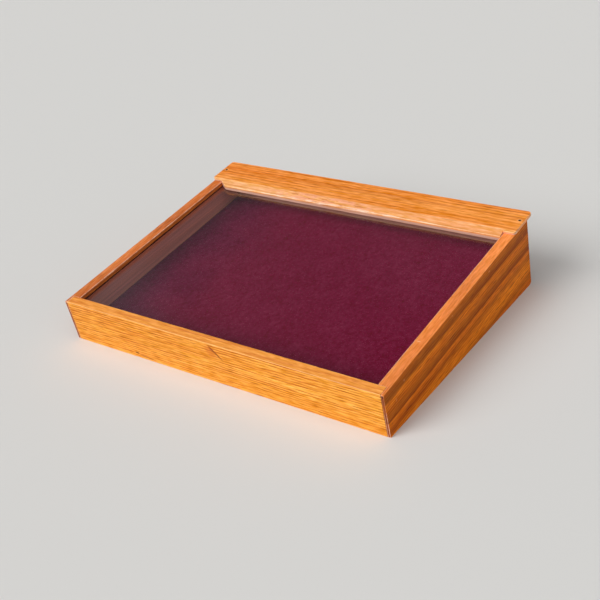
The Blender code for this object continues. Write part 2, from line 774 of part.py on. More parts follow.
def catch(case, door, panel, stop):
    plastic = new_material("catch_case", (0.45, 0.28, 0.14), 0.5)
    low = (catch_right - CATCH_LENGTH, catch_front, catch_bottom)
    body = add_box("catch_case", low, (catch_right, catch_back, catch_top), case, plastic)
    half_long = MAGNET_LENGTH / 2
    half_high = MAGNET_HEIGHT / 2
    iron = new_material("catch_magnet", (0.16, 0.16, 0.17), 0.45, 0.9)
    low = (catch_middle - half_long, magnet_back - MAGNET_DEPTH, magnet_height - half_high)
    high = (catch_middle + half_long, magnet_back, magnet_height + half_high)
    add_box("catch_magnet", low, high, case, iron)
    room = Vector((FIT, FIT, FIT))
    pocket = box_cutter("catch_pocket", Vector(low) - room, Vector(high) + room, case)
    boolean(body, pocket)
    offset = CATCH_SCREW_SPACING / 2
    middle = (catch_front + catch_back) / 2
    steel = new_material("catch_screw", (0.58, 0.56, 0.52), 0.35, 1.0)
    length = CATCH_HEIGHT + FIT + CATCH_SCREW_BITE
    under = catch_bottom - FIT
    spots = [
        ("catch_screw_left", (catch_middle - offset, middle, under), (0, 0, -1)),
        ("catch_screw_right", (catch_middle + offset, middle, under), (0, 0, -1)),
    ]
    fasten("catch_drill", partial(pan_screw_profile, length), spots, case, steel, [body, stop])
    half_long = STRIKE_LENGTH / 2
    plated = new_material("strike_plate", (0.60, 0.58, 0.54), 0.3, 1.0)
    low = (catch_middle - half_long, strike_front, strike_bottom)
    high = (catch_middle + half_long, strike_back, strike_top)
    strike = add_box("strike_plate", low, high, door, plated)
    steel = new_material("strike_screw", (0.58, 0.56, 0.52), 0.35, 1.0)
    spots = [("strike_screw", (catch_middle, strike_front, strike_height), (0, -1, 0))]
    profile = partial(flat_screw_profile, STRIKE_SCREW_LENGTH)
    fasten("strike_drill", profile, spots, door, steel, [strike, panel])


def centre_case(frame):
    # Slides the tilted frame along Y until the whole case is centred over the origin
    bpy.context.view_layer.update()
    depsgraph = bpy.context.evaluated_depsgraph_get()
    reach = []
    for obj in parts.objects:
        if obj.type == "MESH":
            shape = obj.evaluated_get(depsgraph)
            points = np.array([shape.matrix_world @ v.co for v in shape.data.vertices])
            reach += [points[:, 1].min(), points[:, 1].max()]
    frame.location.y -= (min(reach) + max(reach)) / 2


clear_scene()
parts = new_collection("display_case")
cutters = new_collection("cutters")
case_frame = new_empty("case_frame", None, (0, 0, FRONT_HEIGHT * math.cos(slope)))
case_frame.rotation_euler = (slope, 0, 0)
case_body = Body(case_frame, Vector((0, 0, 0)))
door_body = Body(new_empty("door_axis", case_frame, pin_place), pin_place)

left_panel = side_panel("left_side_panel", -1, case_body)
right_panel = side_panel("right_side_panel", 1, case_body)
front_piece = front_board(case_body)
board_piece = top_board(case_body)
stop_piece = stop_rail(case_body)
rail_piece = back_rail(case_body)
door_piece = back_door(door_body)
glass_pane(case_body)
display_floor(case_body)
cleats(case_body, left_panel, right_panel, front_piece)
board_nails(case_body, board_piece, left_panel, right_panel)
side_nails(case_body, left_panel, right_panel, front_piece, rail_piece, stop_piece)
hinges(case_body, door_body, rail_piece, door_piece)
knob(door_body, door_piece)
catch(case_body, door_body, door_piece, stop_piece)
centre_case(case_frame)
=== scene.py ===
import math

import bmesh
import bpy
import numpy as np
from mathutils import Matrix


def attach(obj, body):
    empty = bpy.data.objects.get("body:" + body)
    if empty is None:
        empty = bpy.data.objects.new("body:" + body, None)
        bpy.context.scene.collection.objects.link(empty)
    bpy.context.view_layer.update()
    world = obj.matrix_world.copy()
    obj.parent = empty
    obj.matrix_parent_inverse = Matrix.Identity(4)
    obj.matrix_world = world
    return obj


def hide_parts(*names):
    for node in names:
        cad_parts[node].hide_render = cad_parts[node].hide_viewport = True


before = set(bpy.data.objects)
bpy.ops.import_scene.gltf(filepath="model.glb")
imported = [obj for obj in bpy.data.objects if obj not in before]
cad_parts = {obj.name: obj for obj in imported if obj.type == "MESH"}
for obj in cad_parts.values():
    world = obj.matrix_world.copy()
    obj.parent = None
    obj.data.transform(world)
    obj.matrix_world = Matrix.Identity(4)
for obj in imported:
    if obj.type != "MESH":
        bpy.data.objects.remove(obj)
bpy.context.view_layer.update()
print("frame loaded,", len(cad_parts), "nodes")

# The case is drawn in its sloping frame: across, up the slope from the front face, out of the rail tops
caseSize = {
    "half": 0.305,
    "length": 0.452,  # up the slope
    "rise": 0.0485,  # of the rail tops over their length
    "frontHeight": 0.0765,
    "heel": 0.008,  # rounding of the lower back edge
    "groove": (-0.0115, -0.0077, 0.006),  # low edge, high edge and depth of the groove for the glass
    "frontEdge": (0.0, -0.234333, 0.0760634),  # middle of the front top edge, in the CAD frame
}
bothSides = (("left", -1), ("right", 1))
tilt = math.atan2(caseSize["rise"], caseSize["length"])
tiltCos, tiltSin, tiltTan = math.cos(tilt), math.sin(tilt), math.tan(tilt)


def toWorld(points, shift=caseSize["frontEdge"]):  # a turn about X by the tilt, then a shift
    across, up, out = np.moveaxis(np.asarray(points, float), -1, 0)
    tilted = np.stack([across, up * tiltCos - out * tiltSin, up * tiltSin + out * tiltCos], -1)
    return tilted + np.asarray(shift)


def bottomAt(up):  # height of the level underside, seen from the sloping rail tops
    return -(caseSize["frontHeight"] + up * tiltTan)


def aim(obj, right, up, place):  # its third direction, right crossed with up, points back from the view
    matrix = np.eye(4)
    matrix[:3, :3] = np.stack([right, up, np.cross(right, up)], 1)
    matrix[:3, 3] = place
    bpy.context.scene.collection.objects.link(obj)
    obj.matrix_world = Matrix(matrix.tolist())


# Camera, worked out from the photograph's straight edges in the sloping frame
cameraView = {
    "place": (0.9275, -0.8179, 0.8889),
    "right": (0.8121, 0.5544, -0.1821),
    "down": (0.2037, -0.5618, -0.8018),
    "lens": 61.53,
    "sensor": 36.0,
}


def makeCamera(settings):
    data = bpy.data.cameras.new("caseCamera")
    data.lens = settings["lens"]
    data.sensor_width = settings["sensor"]
    camera = bpy.data.objects.new("caseCamera", data)
    noShift = (0, 0, 0)
    up = -toWorld(settings["down"], noShift)
    aim(camera, toWorld(settings["right"], noShift), up, toWorld(settings["place"]))
    bpy.context.scene.camera = camera


makeCamera(cameraView)
print("camera set")


# Small helpers for node trees
def feed(tree, socket, value):
    if isinstance(value, bpy.types.NodeSocket):
        tree.links.new(value, socket)
    else:
        socket.default_value = value


def newNode(tree, kind, values=(), **settings):
    node = tree.nodes.new("ShaderNode" + kind)
    for label, value in settings.items():
        setattr(node, label, value)
    for socket, value in zip(node.inputs, values):
        feed(tree, socket, value)
    return node


def calc(tree, operation, *values):
    return newNode(tree, "Math", values, operation=operation).outputs[0]


def times(tree, first, second):
    return calc(tree, "MULTIPLY", first, second)


def timesPlus(tree, first, second, added):
    return calc(tree, "MULTIPLY_ADD", first, second, added)


def vectorCalc(tree, operation, *values):
    node = newNode(tree, "VectorMath", values, operation=operation)
    return node.outputs["Value" if operation in ("LENGTH", "DOT_PRODUCT") else "Vector"]


def ranged(tree, value, low, high, toLow=0.0, toHigh=1.0):  # a smooth step from low to high
    values = (value, low, high, toLow, toHigh)
    return newNode(tree, "MapRange", values, interpolation_type="SMOOTHSTEP").outputs[0]


def splitXyz(tree, coords):
    return newNode(tree, "SeparateXYZ", (coords,)).outputs


def blendTone(tree, factor, first, second, kind="MIX"):
    node = newNode(tree, "Mix", (factor,), data_type="RGBA", blend_type=kind)
    feed(tree, node.inputs[6], first)
    feed(tree, node.inputs[7], second)
    return node.outputs[2]


def shaded(tree, color, factor):
    return blendTone(tree, 1.0, color, factor, "MULTIPLY")


def tinted(tree, color, swing, look):  # a swing round 0 lightens or darkens each channel by its own weight
    factor = vectorCalc(tree, "MULTIPLY_ADD", swing, look["tint"], (1, 1, 1))
    return shaded(tree, color, vectorCalc(tree, "MAXIMUM", factor, look["least"]))


def speckle(tree, coords, stretch, seed, detail=2.0):
    node = newNode(tree, "TexNoise", noise_dimensions="4D")
    node.inputs["Scale"].default_value = 1.0
    node.inputs["Detail"].default_value = detail
    feed(tree, node.inputs["Vector"], vectorCalc(tree, "MULTIPLY", coords, stretch))
    feed(tree, node.inputs["W"], seed)
    return node.outputs[0]


def centred(tree, noise):
    return calc(tree, "SUBTRACT", noise, 0.5)


def newGroup(name, inputs, outputs):
    tree = bpy.data.node_groups.new(name, "ShaderNodeTree")
    for label, kind, value in inputs:
        socket = tree.interface.new_socket(label, in_out="INPUT", socket_type="NodeSocket" + kind)
        socket.default_value = value
    for label, kind in outputs:
        tree.interface.new_socket(label, in_out="OUTPUT", socket_type="NodeSocket" + kind)
    return tree, tree.nodes.new("NodeGroupInput").outputs, tree.nodes.new("NodeGroupOutput").inputs


def useGroup(tree, group, values):
    node = newNode(tree, "Group", node_tree=group)
    for label, value in values.items():
        feed(tree, node.inputs[label], value)
    return node.outputs


def newMaterial(name):
    material = bpy.data.materials.new(name)
    material.use_nodes = True
    tree = material.node_tree
    return material, tree, tree.nodes["Principled BSDF"].inputs


def setSockets(shader, values):
    for label, value in values.items():
        shader[label].default_value = value


def addBump(tree, shader, height, strength, distance):
    bump = newNode(tree, "Bump")
    setSockets(bump.inputs, {"Strength": strength, "Distance": distance})
    feed(tree, bump.inputs["Height"], height)
    feed(tree, shader["Normal"], bump.outputs[0])


def tone(red, green, blue):  # screen colour, 0 to 255, as the linear colour that a socket takes
    share = np.array([red, green, blue]) / 255
    linear = np.where(share <= 0.04045, share / 12.92, ((share + 0.055) / 1.055) ** 2.4)
    return (*linear.tolist(), 1.0)


def readAttribute(tree, name, output):
    return newNode(tree, "Attribute", attribute_name=name).outputs[output]


def objectCoords(tree, turn=0.0):  # the object's own coordinates, turned about the upright axis
    own = newNode(tree, "TexCoord").outputs["Object"]
    return newNode(tree, "Mapping", (own, (0, 0, 0), (0, 0, turn))).outputs[0]


# Oak grain: growth rings round the tree's middle, broken into dashes, with bands, pores, streaks and flecks
# A noise has its number to the metre along the grain, across it and into the board, then its seed and detail;
# a range is where it begins and ceases to show, a shade is a factor and what is added
oakLook = {
    "wander": ((2.6, 16, 16), 0.0, 3),
    "ringRise": (0.15, 0.86),  # a ring darkens slowly
    "ringFall": (0.9, 1.0, 1.0, 0.0),  # and ends sharply
    "ringShade": (0.5, 0.5),
    "broadDash": (5, 30, 30),
    "fineDash": 300.0,
    "dashRange": (0.36, 0.58, 0.15, 1.0),
    "dashSeed": 3.0,
    "fineSeed": 31.0,
    "bands": ((1.2, 34, 34), 7.0, 2),
    "bandRange": (0.32, 0.68),
    "pores": ((45, 480, 480), 11.0, 1),
    "poreRange": (0.57, 0.7),
    "poreShade": (0.7, 0.3),
    "poreDeep": 0.4,
    "poreTone": (0.03, 0.01, 0.003, 1),
    "fibre": ((80, 2200, 2200), 17.0, 0),
    "fibreShade": (0.2, 0.9),
    "streak": ((4, 170, 170), 23.0, 2),
    "fleck": ((46, 400, 400), 29.0, 1),
    "tint": (1, 1.7, 5.0),  # redder when darker
    "least": (0.3, 0.2, 0.05),
    "relief": {"pores": -1.0, "fibre": 0.35, "rings": -0.25},
}


def ringLines(tree, coords, reach, ring, seed, dash, look):
    rings = calc(tree, "DIVIDE", reach, ring)
    tooth = calc(tree, "FRACT", rings)
    late = times(tree, ranged(tree, tooth, *look["ringRise"]), ranged(tree, tooth, *look["ringFall"]))
    ringTone = newNode(tree, "TexWhiteNoise", noise_dimensions="1D")
    feed(tree, ringTone.inputs["W"], calc(tree, "ADD", calc(tree, "FLOOR", rings), seed))
    strength = timesPlus(tree, ringTone.outputs["Value"], *look["ringShade"])
    dashes = speckle(tree, coords, dash, calc(tree, "ADD", seed, look["dashSeed"]))
    broken = ranged(tree, dashes, *look["dashRange"])
    return times(tree, late, times(tree, strength, broken)), late


def makeOakGrain(look):
    inputs = [
        ("Coords", "Vector", (0, 0, 0)),  # along the grain, across it, into the board, in metres
        ("Heart", "Vector", (0, 0.1, -0.1)),  # the middle of the tree
        ("Ring", "Float", 0.02),
        ("FineRing", "Float", 0.004),
        ("Wander", "Float", 0.004),
        ("Runout", "Float", 0.01),
        ("Lines", "Float", 0.5),
        ("FineLines", "Float", 0.5),
        ("Dash", "Float", 30.0),  # dashes to the metre
        ("Bands", "Float", 0.6),
        ("Pores", "Float", 0.5),
        ("Streak", "Float", 0.5),
        ("Fleck", "Float", 0.5),
        ("Seed", "Float", 0.0),
        ("Pale", "Color", (0.8, 0.4, 0.1, 1)),
        ("Warm", "Color", (0.7, 0.3, 0.05, 1)),
        ("Dark", "Color", (0.3, 0.1, 0.02, 1)),
    ]
    outputs = [("Color", "Color"), ("Height", "Float"), ("Lines", "Float")]
    tree, given, result = newGroup("oakGrain", inputs, outputs)
    coords, seed = given["Coords"], given["Seed"]

    def noise(label):
        stretch, offset, detail = look[label]
        return speckle(tree, coords, stretch, calc(tree, "ADD", seed, offset), detail)

    def share(mask, label):
        return times(tree, mask, given[label])

    fromHeart = vectorCalc(tree, "MULTIPLY", vectorCalc(tree, "SUBTRACT", coords, given["Heart"]), (0, 1, 1))
    wander = centred(tree, noise("wander"))
    reach = timesPlus(tree, wander, given["Wander"], vectorCalc(tree, "LENGTH", fromHeart))
    reach = timesPlus(tree, splitXyz(tree, coords)[0], given["Runout"], reach)
    broad, _ = ringLines(tree, coords, reach, given["Ring"], seed, look["broadDash"], look)
    dash = newNode(tree, "CombineXYZ", (given["Dash"], look["fineDash"], look["fineDash"])).outputs[0]
    fineSeed = calc(tree, "ADD", seed, look["fineSeed"])
    fine, fineLate = ringLines(tree, coords, reach, given["FineRing"], fineSeed, dash, look)
    bands = ranged(tree, noise("bands"), *look["bandRange"])
    pores = ranged(tree, noise("pores"), *look["poreRange"])
    pores = times(tree, pores, timesPlus(tree, fineLate, *look["poreShade"]))
    fibre = noise("fibre")
    color = blendTone(tree, share(bands, "Bands"), given["Pale"], given["Warm"])
    color = blendTone(tree, share(broad, "Lines"), color, given["Dark"])
    color = blendTone(tree, share(fine, "FineLines"), color, given["Dark"])
    deep = blendTone(tree, look["poreDeep"], given["Dark"], look["poreTone"])
    color = blendTone(tree, share(pores, "Pores"), color, deep)
    swing = share(centred(tree, noise("streak")), "Streak")
    swing = timesPlus(tree, centred(tree, noise("fleck")), given["Fleck"], swing)
    color = tinted(tree, color, swing, look)
    feed(tree, result["Color"], shaded(tree, color, timesPlus(tree, fibre, *look["fibreShade"])))
    relief = look["relief"]
    height = timesPlus(tree, pores, relief["pores"], times(tree, fibre, relief["fibre"]))
    feed(tree, result["Height"], timesPlus(tree, fine, relief["rings"], height))
    feed(tree, result["Lines"], fine)
    return tree


# Worn edges: bare arrises, pale partly as a painted highlight, faded rail tops, a faded bevel that is paler
# partly as a painted sheen, greyed inner faces, end grain and grime in the joints
wearLook = {  # a noise has its number to the metre and its detail
    "fine": ((170, 170, 170), 3),
    "broad": ((18, 18, 18), 2),
    "bareGlintRagged": 0.55,
    "bareGlintRange": (0.5, 0.95),
    "rubbed": ((60, 330, 330), 2),
    "rubDepth": 0.5,
    "tint": (1, 1.7, 4.0),
    "least": (0.3, 0.2, 0.05),
    "inner": ((5, 200, 200), 3),
    "innerLift": 0.5,
    "innerDepth": 0.74,
    "endFleck": ((620, 620, 620), 2),
    "endFleckShade": (1.1, 0.45),
    "endCloud": ((70, 150, 150), 3),
    "endCloudShade": (1.2, 0.4),
    "endDepth": 0.8,
    "grimeRagged": 0.3,
    "grimeRange": (0.45, 0.9),
}


def makeWornEdge(look):
    inputs = [
        ("Coords", "Vector", (0, 0, 0)),
        ("Color", "Color", (0.8, 0.4, 0.1, 1)),
        ("Worn", "Float", 0.0),
        ("Seam", "Float", 0.0),
        ("End", "Float", 0.0),
        ("Faded", "Float", 0.0),
        ("Inner", "Float", 0.0),
        ("Amount", "Float", 0.8),
        ("FadeSheenAmount", "Float", 0.5),
        ("Bare", "Color", (0.9, 0.7, 0.45, 1)),
        ("Grime", "Color", (0.05, 0.02, 0.01, 1)),
        ("EndTone", "Color", (0.3, 0.12, 0.06, 1)),
        ("FadeSheenTone", "Color", (0.9, 0.3, 0.1, 1)),
        ("FadeSheenTint", "Color", (1, 1, 1, 1)),
        ("InnerTone", "Color", (0.4, 0.15, 0.14, 1)),
        ("Seed", "Float", 0.0),
    ]
    tree, given, result = newGroup("wornEdge", inputs, [("Color", "Color"), ("Bare", "Float")])

    def noise(label):
        stretch, detail = look[label]
        return speckle(tree, given["Coords"], stretch, given["Seed"], detail)

    ragged = calc(tree, "SUBTRACT", calc(tree, "ADD", noise("fine"), noise("broad")), 1.0)
    bareGlint = ranged(tree, timesPlus(tree, ragged, look["bareGlintRagged"], given["Worn"]), *look["bareGlintRange"])
    bareGlint = times(tree, bareGlint, given["Amount"])
    color = blendTone(tree, given["Faded"], given["Color"], given["FadeSheenTint"], "MULTIPLY")
    color = blendTone(tree, times(tree, given["Faded"], given["FadeSheenAmount"]), color, given["FadeSheenTone"])
    rubbed = times(tree, centred(tree, noise("rubbed")), look["rubDepth"])
    color = tinted(tree, color, times(tree, rubbed, given["Faded"]), look)
    innerTone = shaded(tree, given["InnerTone"], calc(tree, "ADD", noise("inner"), look["innerLift"]))
    color = blendTone(tree, times(tree, given["Inner"], look["innerDepth"]), color, innerTone)
    flecks = timesPlus(tree, noise("endFleck"), *look["endFleckShade"])
    clouds = timesPlus(tree, noise("endCloud"), *look["endCloudShade"])
    endGrain = shaded(tree, given["EndTone"], times(tree, flecks, clouds))
    color = blendTone(tree, times(tree, given["End"], look["endDepth"]), color, endGrain)
    # bare arrises, pale partly as a painted highlight
    color = blendTone(tree, bareGlint, color, given["Bare"])
    grime = ranged(tree, timesPlus(tree, ragged, look["grimeRagged"], given["Seam"]), *look["grimeRange"])
    feed(tree, result["Color"], blendTone(tree, grime, color, given["Grime"]))
    feed(tree, result["Bare"], bareGlint)
    return tree


# Tarnish: aged blotches and fine scratches
tarnishLook = {
    "blotch": ((190, 190, 190), 4),
    "agedRange": (0.38, 0.66),
    "scratch": ((260, 2600, 2600), 1),
    "scratchShade": (0.2, 0.9),
    "bump": (0.1, 0.0001),
}


def makeTarnish(look):
    inputs = [
        ("Coords", "Vector", (0, 0, 0)),
        ("Clean", "Color", (0.6, 0.4, 0.15, 1)),
        ("Aged", "Color", (0.3, 0.2, 0.08, 1)),
        ("Amount", "Float", 0.6),
        ("Smooth", "Float", 0.25),
        ("Rough", "Float", 0.5),
        ("Seed", "Float", 0.0),
    ]
    outputs = [("Color", "Color"), ("Roughness", "Float"), ("Height", "Float")]
    tree, given, result = newGroup("tarnish", inputs, outputs)

    def noise(label):
        stretch, detail = look[label]
        return speckle(tree, given["Coords"], stretch, given["Seed"], detail)

    blotch, scratch = noise("blotch"), noise("scratch")
    aged = times(tree, ranged(tree, blotch, *look["agedRange"]), given["Amount"])
    color = blendTone(tree, aged, given["Clean"], given["Aged"])
    feed(tree, result["Color"], shaded(tree, color, timesPlus(tree, scratch, *look["scratchShade"])))
    span = calc(tree, "SUBTRACT", given["Rough"], given["Smooth"])
    feed(tree, result["Roughness"], timesPlus(tree, aged, span, given["Smooth"]))
    feed(tree, result["Height"], scratch)
    return tree


oakGrain = makeOakGrain(oakLook)
wornEdge = makeWornEdge(wearLook)
tarnish = makeTarnish(tarnishLook)

# Wood: the grain, growth rings that have a known place, wear with some painted highlight and sheen, then
# single marks
woodFinish = {
    "ringDrift": ((9, 14, 14), 4.2),
    "markEdge": (0.35, 1.0, 1.0, 0.0),
    "markNoise": (2.5, 3),  # seed and detail
    "ringRough": 0.12,  # rougher on ring lines and bare edges
    "bareRough": 0.12,
    "bump": (0.3, 0.0004),
}


def mark(centre, reach, strength, shade, **more):  # a soft spot, in the board's own grain directions
    return {"centre": centre, "reach": reach, "strength": strength, "tone": tone(*shade), **more}


def spotMask(tree, coords, spot):  # 1 in the middle of an ellipsoid, 0 at its surface
    values = (coords, spot["centre"], (0, 0, spot.get("turn", 0.0)), spot["reach"])
    local = newNode(tree, "Mapping", values, vector_type="TEXTURE").outputs[0]
    mask = ranged(tree, vectorCalc(tree, "LENGTH", local), *woodFinish["markEdge"])
    if "rough" in spot:
        patch = speckle(tree, coords, spot["rough"], *woodFinish["markNoise"])
        mask = times(tree, mask, ranged(tree, patch, *spot["patch"]))
    return times(tree, mask, spot["strength"])


def growthRings(tree, coords, color, rings):  # each darkens slowly down to its edge, then ends more sharply
    drift = centred(tree, speckle(tree, coords, *woodFinish["ringDrift"]))
    place = splitXyz(tree, coords)
    wavy = timesPlus(tree, drift, rings["bend"], place[1])
    for ring in rings["edges"]:
        edge = ring["edge"]
        height = timesPlus(tree, place[0], ring["slope"], wavy)
        rise = ranged(tree, height, edge, edge + ring["run"], 1.0, 0.0)
        mask = times(tree, rise, ranged(tree, height, edge - ring["sharp"], edge))
        color = blendTone(tree, times(tree, mask, ring["depth"]), color, rings["tone"])
    return color


def woodMaterial(name, grain, edge, marks=(), roughness=0.38, cadTurn=None, gloss=0.12, rings=None):
    material, tree, shader = newMaterial(name)
    coords = readAttribute(tree, "grain", "Vector") if cadTurn is None else objectCoords(tree, cadTurn)
    wood = useGroup(tree, oakGrain, {"Coords": coords, **grain})
    color = growthRings(tree, coords, wood["Color"], rings) if rings else wood["Color"]
    masks = ("Worn", "Seam", "End", "Faded", "Inner")
    fields = {label: readAttribute(tree, label.lower(), "Fac") for label in masks}
    worn = useGroup(tree, wornEdge, {"Coords": coords, "Color": color, **fields, **edge})
    color = worn["Color"]
    for spot in marks:
        color = blendTone(tree, spotMask(tree, coords, spot), color, spot["tone"])
    feed(tree, shader["Base Color"], color)
    rough = timesPlus(tree, wood["Lines"], woodFinish["ringRough"], roughness)
    feed(tree, shader["Roughness"], timesPlus(tree, worn["Bare"], woodFinish["bareRough"], rough))
    shader["Specular IOR Level"].default_value = gloss
    addBump(tree, shader, wood["Height"], *woodFinish["bump"])
    return material


# Meshes from whole arrays
def makePiece(name, points, faces, material, fields=None, sharp=38.0):
    mesh = bpy.data.meshes.new(name)
    mesh.from_pydata(points.reshape(-1, 3).tolist(), [], faces)
    for label, values in (fields or {}).items():
        isVector = values.ndim > 1 and values.shape[-1] == 3
        kind, part = ("FLOAT_VECTOR", "vector") if isVector else ("FLOAT", "value")
        mesh.attributes.new(label, kind, "POINT").data.foreach_set(part, values.ravel())
    shape = bmesh.new()
    shape.from_mesh(mesh)
    bmesh.ops.remove_doubles(shape, verts=shape.verts, dist=1e-7)
    bmesh.ops.recalc_face_normals(shape, faces=shape.faces)
    shape.to_mesh(mesh)
    shape.free()
    mesh.shade_smooth()
    mesh.set_sharp_from_angle(angle=math.radians(sharp))
    mesh.materials.append(material)
    piece = bpy.data.objects.new(name, mesh)
    bpy.context.scene.collection.objects.link(piece)
    return piece


def settle(piece, body, slotName, *nodes):
    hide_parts(*nodes)
    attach(piece, body)


def ringFaces(stations, around):  # quads between neighbouring closed rings
    index = np.arange(stations * around).reshape(stations, around)
    after = np.roll(index, -1, axis=1)
    return np.stack([index[:-1], after[:-1], after[1:], index[1:]], -1).reshape(-1, 4)


def loftFaces(stations, around):  # the same with one flat face at each end
    last = (stations - 1) * around
    return [
        *ringFaces(stations, around).tolist(),
        list(range(around))[::-1],
        list(range(last, last + around)),
    ]


def turned(profile, middle, axis, around=32):
    # A profile of radius and height carried round one of the three axes; radius 0 closes an end
    radius, height = np.asarray(profile, float).T
    axis = np.asarray(axis, float)
    side = np.roll(axis, 1)
    angle = np.linspace(0, 2 * np.pi, around, endpoint=False)[:, None]
    spoke = np.cos(angle) * side + np.sin(angle) * np.cross(axis, side)
    points = np.asarray(middle) + radius[:, None, None] * spoke + height[:, None, None] * axis
    return points, ringFaces(*points.shape[:2])


def plate(low, high, cut):
    # A rectangle with cut corners carried across, drawn in by the cut at both ends and closed at its middle
    low, high = np.asarray(low), np.asarray(high)
    half = (high - low)[1:] / 2
    inset = np.array([np.nan, cut, 0, 0, cut, np.nan])[:, None]
    place = np.array([low[0], low[0], low[0] + cut, high[0] - cut, high[0], high[0]])
    way = np.array([(1, 1), (1, 1), (-1, 1), (-1, 1), (-1, -1), (-1, -1), (1, -1), (1, -1)])
    drawn = np.array([(0, 1), (1, 0), (1, 0), (0, 1), (0, 1), (1, 0), (1, 0), (0, 1)]) * cut
    section = way * np.maximum(half - drawn - np.nan_to_num(inset)[..., None], 0)
    section = np.where(np.isnan(inset)[..., None], 0.0, section) + (low + high)[1:] / 2
    points = np.concatenate([np.broadcast_to(place[:, None, None], (6, 8, 1)), section], -1)
    return points, ringFaces(6, 8)


def gathered(shapes):  # several shapes as one set of points and faces
    starts = np.cumsum([0, *(shape[0].size // 3 for shape in shapes)])
    points = np.concatenate([shape[0].reshape(-1, 3) for shape in shapes])
    return points, np.concatenate([shape[1] + start for shape, start in zip(shapes, starts)])


def uneven(places, seed, waves=(0.31, 0.17, 0.083, 0.041, 0.019)):
    # A sum of sines of these wave lengths with seeded phases, about -1 to 1
    random = np.random.default_rng(seed)
    phase = random.uniform(0, 2 * np.pi, len(waves))
    weight = random.uniform(0.5, 1.0, len(waves))
    turns = 2 * np.pi * places[:, None] / np.array(waves) + phase
    return (np.sin(turns) * weight).sum(1) / weight.sum()


def nicks(places, seed, count, deep, wide):  # a sum of narrow bells at seeded places
    random = np.random.default_rng(seed)
    middle = random.uniform(places.min(), places.max(), count)
    size = random.uniform(0.3, 1.0, count)
    return (deep * size * np.exp(-(((places[:, None] - middle) / (wide * size)) ** 2))).sum(1)


def wornRadii(places, arris, most, swing, seed, nickSeed, count, deep, wide=0.003, least=4e-4):
    # The plain arris swelling and shrinking by the swing, with nicks, for each of a section's four corners
    plain = arris * (1 + swing * uneven(places, seed))
    bites = [nicks(places, nickSeed + index, count, deep, wide) for index in range(4)]
    return [np.clip(plain + bite, least, most) for bite in bites]


def boardStations(start, end, rounding, step, jumps=(), extra=(), drawnIn=6e-4, apart=1e-6):
    # Places along a board: a quarter turn of rounding at each end, steps between, two places at each jump
    quarter = np.linspace(0, np.pi / 2, 6)
    rise = rounding * (1 - np.cos(quarter))
    inset = rounding * (1 - np.sin(quarter))
    count = max(2, int(round((end - start - 2 * rounding) / step)))
    middle = np.linspace(start + rounding, end - rounding, count + 1)[1:-1]
    cuts = np.array([jump + way * apart for jump in jumps for way in (-1, 1)])
    middle = np.sort(np.concatenate([middle, cuts, np.asarray(extra, float)]))
    places = np.concatenate([[start], start + rise, middle, end - rise[::-1], [end]])
    insets = np.concatenate([[rounding + drawnIn], inset, 0 * middle, inset[::-1], [rounding + drawnIn]])
    toEnd = np.minimum(places - start, end - places)
    return places, insets, toEnd


def straight(start, end, count, worn=(0, 0), reach=0.0004, bunched=0.12):
    # A straight run of a section for all stations at once, without its last point; worn fades from its ends
    share = np.arange(count) / count
    share = share - np.sin(2 * np.pi * share) * bunched
    points = start[:, None] + (end - start)[:, None] * share[None, :, None]
    length = np.linalg.norm(end - start, axis=-1)[:, None]
    first = worn[0] * np.exp(-share * length / reach)
    return points, np.maximum(first, worn[1] * np.exp(-(1 - share) * length / reach))


def corner(middle, radius, start, sweep=90.0, count=5, worn=1.0):
    # An arc of a section for all stations at once, turning left by sweep from the start angle, in degrees
    angle = np.radians(start + sweep * np.arange(count) / count)
    points = middle[:, None] + radius[:, None, None] * np.stack([np.cos(angle), np.sin(angle)], -1)
    return points, np.full((len(middle), count), worn)


def pair(first, second):
    return np.stack(np.broadcast_arrays(first, second), -1).astype(float)


def joined(runs):
    return np.concatenate([run[0] for run in runs], 1), np.concatenate([run[1] for run in runs], 1)


def roundedSection(low, high, radii, counts, worn, notch=None):
    # A rounded rectangle at every station, anticlockwise from its low corner; a notch grooves its last side
    (a0, b0), (a1, b1) = low, high
    r0, r1, r2, r3 = radii
    w0, w1, w2, w3 = worn
    runs = [
        straight(pair(a0 + r0, b0), pair(a1 - r1, b0), counts[0], (w0, w1)),
        corner(pair(a1 - r1, b0 + r1), r1, -90, worn=w1),
        straight(pair(a1, b0 + r1), pair(a1, b1 - r2), counts[1], (w1, w2)),
        corner(pair(a1 - r2, b1 - r2), r2, 0, worn=w2),
        straight(pair(a1 - r2, b1), pair(a0 + r3, b1), counts[0], (w2, w3)),
        corner(pair(a0 + r3, b1 - r3), r3, 90, worn=w3),
    ]
    top, foot = pair(a0, b1 - r3), pair(a0, b0 + r0)
    if notch is None:
        runs.append(straight(top, foot, counts[1], (w3, w0)))
    else:
        grooveLow, grooveHigh, depth = notch
        mouthHigh, mouthLow = pair(a0, grooveHigh), pair(a0, grooveLow)
        floorHigh, floorLow = pair(a0 + depth, grooveHigh), pair(a0 + depth, grooveLow)
        runs += [
            straight(top, mouthHigh, 4, (w3, 0)),
            straight(mouthHigh, floorHigh, 1),
            straight(floorHigh, floorLow, 1),
            straight(floorLow, mouthLow, 1),
            straight(mouthLow, foot, counts[1], (0, w0)),
        ]
    runs.append(corner(pair(a0 + r0, b0 + r0), r0, 180, worn=w0))
    return joined(runs)


boardEnds = {  # wear and end grain at the ends of a board
    "wornReach": 0.0009,
    "faceWorn": 0.25,
    "grainBlend": 0.5,
}


